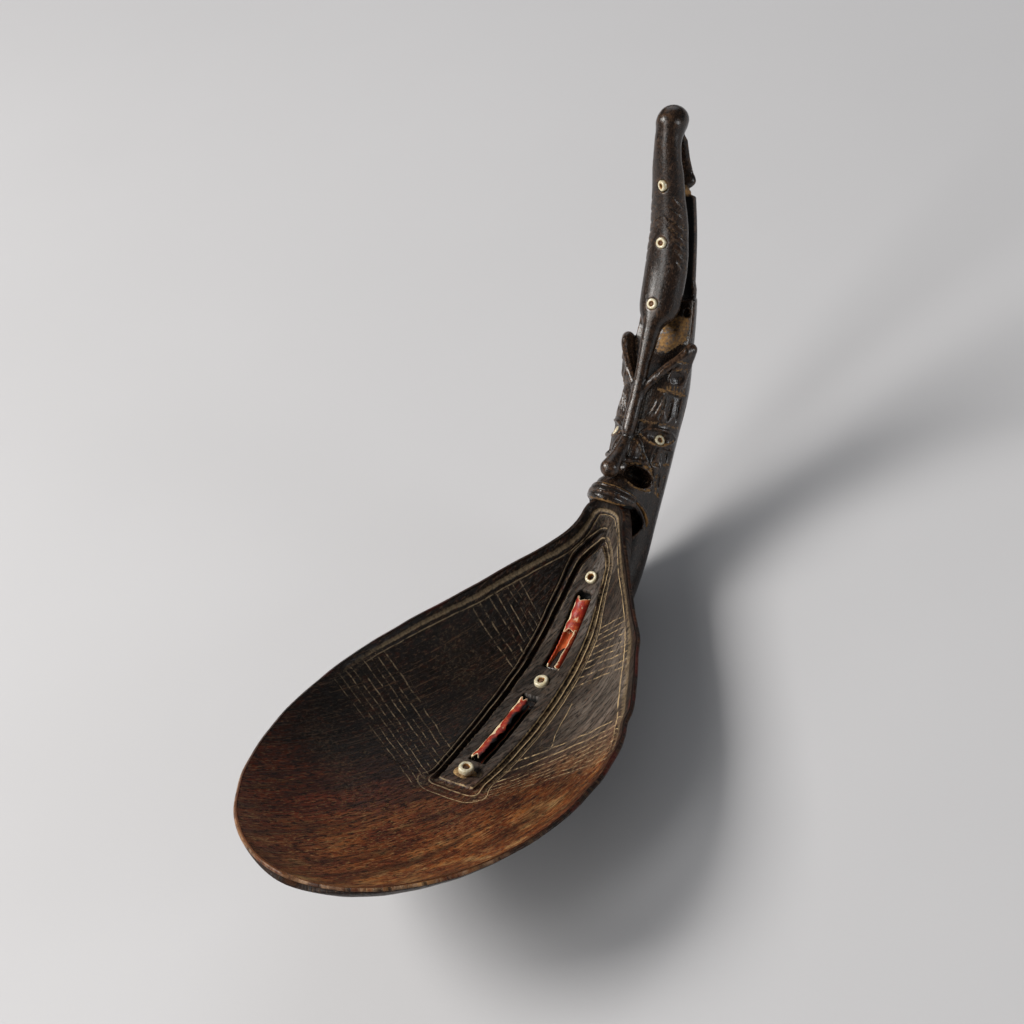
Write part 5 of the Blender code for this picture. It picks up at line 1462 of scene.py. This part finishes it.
fibre = useGroup(fibres, {"Place": grain, "Scale": 1.3, "Length": 4.0})
colour = blend(fibre["Streak"], rollLook["deep"], rollLook["red"])
blotch = spread(noise(grain, 0.45, 5.0, 0.7), 0.46, 0.66)
colour = blend(times(blotch, 0.6), colour, rollLook["orange"])
flaked = spread(noise(grain, 0.62, 5.0, 0.72, (0.6, 1.0, 1.0)), 0.60, 0.65)
colour = blend(times(flaked, 0.7), colour, rollLook["cream"])
colour = blend(times(tones[1], 0.75), colour, rollLook["orange"])
wear = useGroup(rubbing, {"Place": grain, "Edge": tones[0], "Amount": 1.7})
colour = blend(larger(wear["Mask"], spread(tones[0], 0.55, 0.85)), colour, rollLook["cream"])
colour = blend(spread(tones[2], 0.35, 0.6), colour, rollLook["cream"])
# Painted shadow: the lower roll's right side and inside turn near-black
colour = blend(spread(tones[2], -0.05, -0.9), colour, rollLook["paintedShadow"])
fill(shader.inputs["Base Color"], colour)
fill(shader.inputs["Roughness"], spread(fibre["Fleck"], 0.0, 1.0, 0.34, 0.55))
bumped(shader, minus(fibre["Fleck"], wear["Hairline"]), 0.3, 0.0002)
for roll in rolls:
    t = np.linspace(0, 1, rollSize["along"])[:, None]
    k = np.linspace(0, 1, rollSize["around"])[None, :]
    flow = np.repeat(t, rollSize["around"], 1) * (roll["end"] - roll["start"])
    seed = roll["seed"]
    edgeA = 9 * roll["torn"] * (ripple(flow, 0 * flow, 5.0, seed) + 0.6 * ripple(flow, 0 * flow, 1.7, seed + 1))
    edgeB = 7 * roll["torn"] * ripple(flow, 0 * flow, 4.0, seed + 2)
    arc = 360.0 - roll["opening"]
    turn = np.radians(roll["facing"] + roll["opening"] / 2 + arc * k + edgeA * (1 - k) ** 4 - edgeB * k ** 4)
    ragged = 0.55 * roll["torn"] * ripple(turn * 1.75, 0 * turn, 2.2, seed + 3)
    s = roll["start"] + (roll["end"] - roll["start"]) * t
    s = s + np.clip(ragged, -0.5, 1.4) * (1 - t) ** 6 - np.clip(ragged, -0.3, 1.0) * t ** 6
    point, normal, way = floorFrame(s, 0 * s + roll["side"])
    across = np.cross(normal, way)
    centre = point + normal * (rollSize["floor"] + roll["tall"])
    skins = []
    for less in (0.0, rollSize["wall"]):
        bump = 0.07 * ripple(s, turn * 1.5, 4.0, seed + 5) - less
        wideAt = (np.sin(turn) * (roll["wide"] + bump))[..., None]
        tallAt = (np.cos(turn) * (roll["tall"] + bump))[..., None]
        skins.append(centre + across * wideAt + normal * tallAt)
    pts = np.concatenate([g.reshape(-1, 3) for g in skins])
    rows, cols = rollSize["along"], rollSize["around"]
    count = rows * cols
    quads = gridFaces(0, rows, cols) + [q[::-1] for q in gridFaces(count, rows, cols)]
    ring = list(range(cols)) + [i * cols + cols - 1 for i in range(1, rows)]
    ring += [(rows - 1) * cols + j for j in range(cols - 2, -1, -1)] + [i * cols for i in range(rows - 2, 0, -1)]
    quads += [[b, a, a + count, b + count] for a, b in zip(ring, ring[1:] + ring[:1])]
    edge = np.minimum(k + 1 - roll["pale"][0], 2 - roll["pale"][1] - k) * math.radians(arc) * rollSize["radius"]
    edge = np.minimum(edge, np.minimum(t, 1 - t) * (roll["end"] - roll["start"]))
    torn = np.clip(1 - edge / (0.34 + 0.2 * ripple(s, turn, 1.5, seed + 7)), 0, 1)
    swing = np.degrees(turn) + 16 * ripple(s, 0 * s, 6.0, seed + 8) + 9 * ripple(s, 0 * s, 2.0, seed + 9)
    # Bare cream on the left, painted shadow on the right
    bareAndShadow = step01(swing, roll["bare"], roll["bare"] + 7) - (1 - step01(swing, roll["paintedShadow"] - 26, roll["paintedShadow"] + 22))
    paintedShadowInside = -1.0 if roll["paintedShadow"] > -90 else 0.0
    sides = ((0.0, bareAndShadow), (1.0, 0 * torn + paintedShadowInside))  # outer, then inner
    tone = np.concatenate([np.stack([torn, 0 * torn + inward, worn], -1).reshape(-1, 3) for inward, worn in sides])
    strip = np.stack([s + 0 * turn, turn * 1.75, 0 * s + 0 * turn], -1).reshape(-1, 3)
    stripMarks = {"grain": np.concatenate([strip, strip]), "tone": tone}
    makePiece(roll["name"], toRow(pts), quads, rollMaterial, [roll["node"]], stripMarks)
print("rolls finished")

pegLook = dict(dark=(0.010, 0.007, 0.005, 1), light=(0.055, 0.030, 0.016, 1))
pegMaterial, tree, shader = newMaterial("pegHorn", Roughness=0.5)
fibre = useGroup(fibres, {"Place": scaled(position(tree), 1000.0), "Scale": 1.6, "Length": 1.0})
fill(shader.inputs["Base Color"], blend(fibre["Streak"], pegLook["dark"], pegLook["light"]))
bumped(shader, fibre["Fleck"], 0.3, 0.0002)
for node in ("tongue_peg_upper", "tongue_peg_lower"):
    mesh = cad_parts[node].data
    mesh.materials.clear()
    mesh.materials.append(pegMaterial)
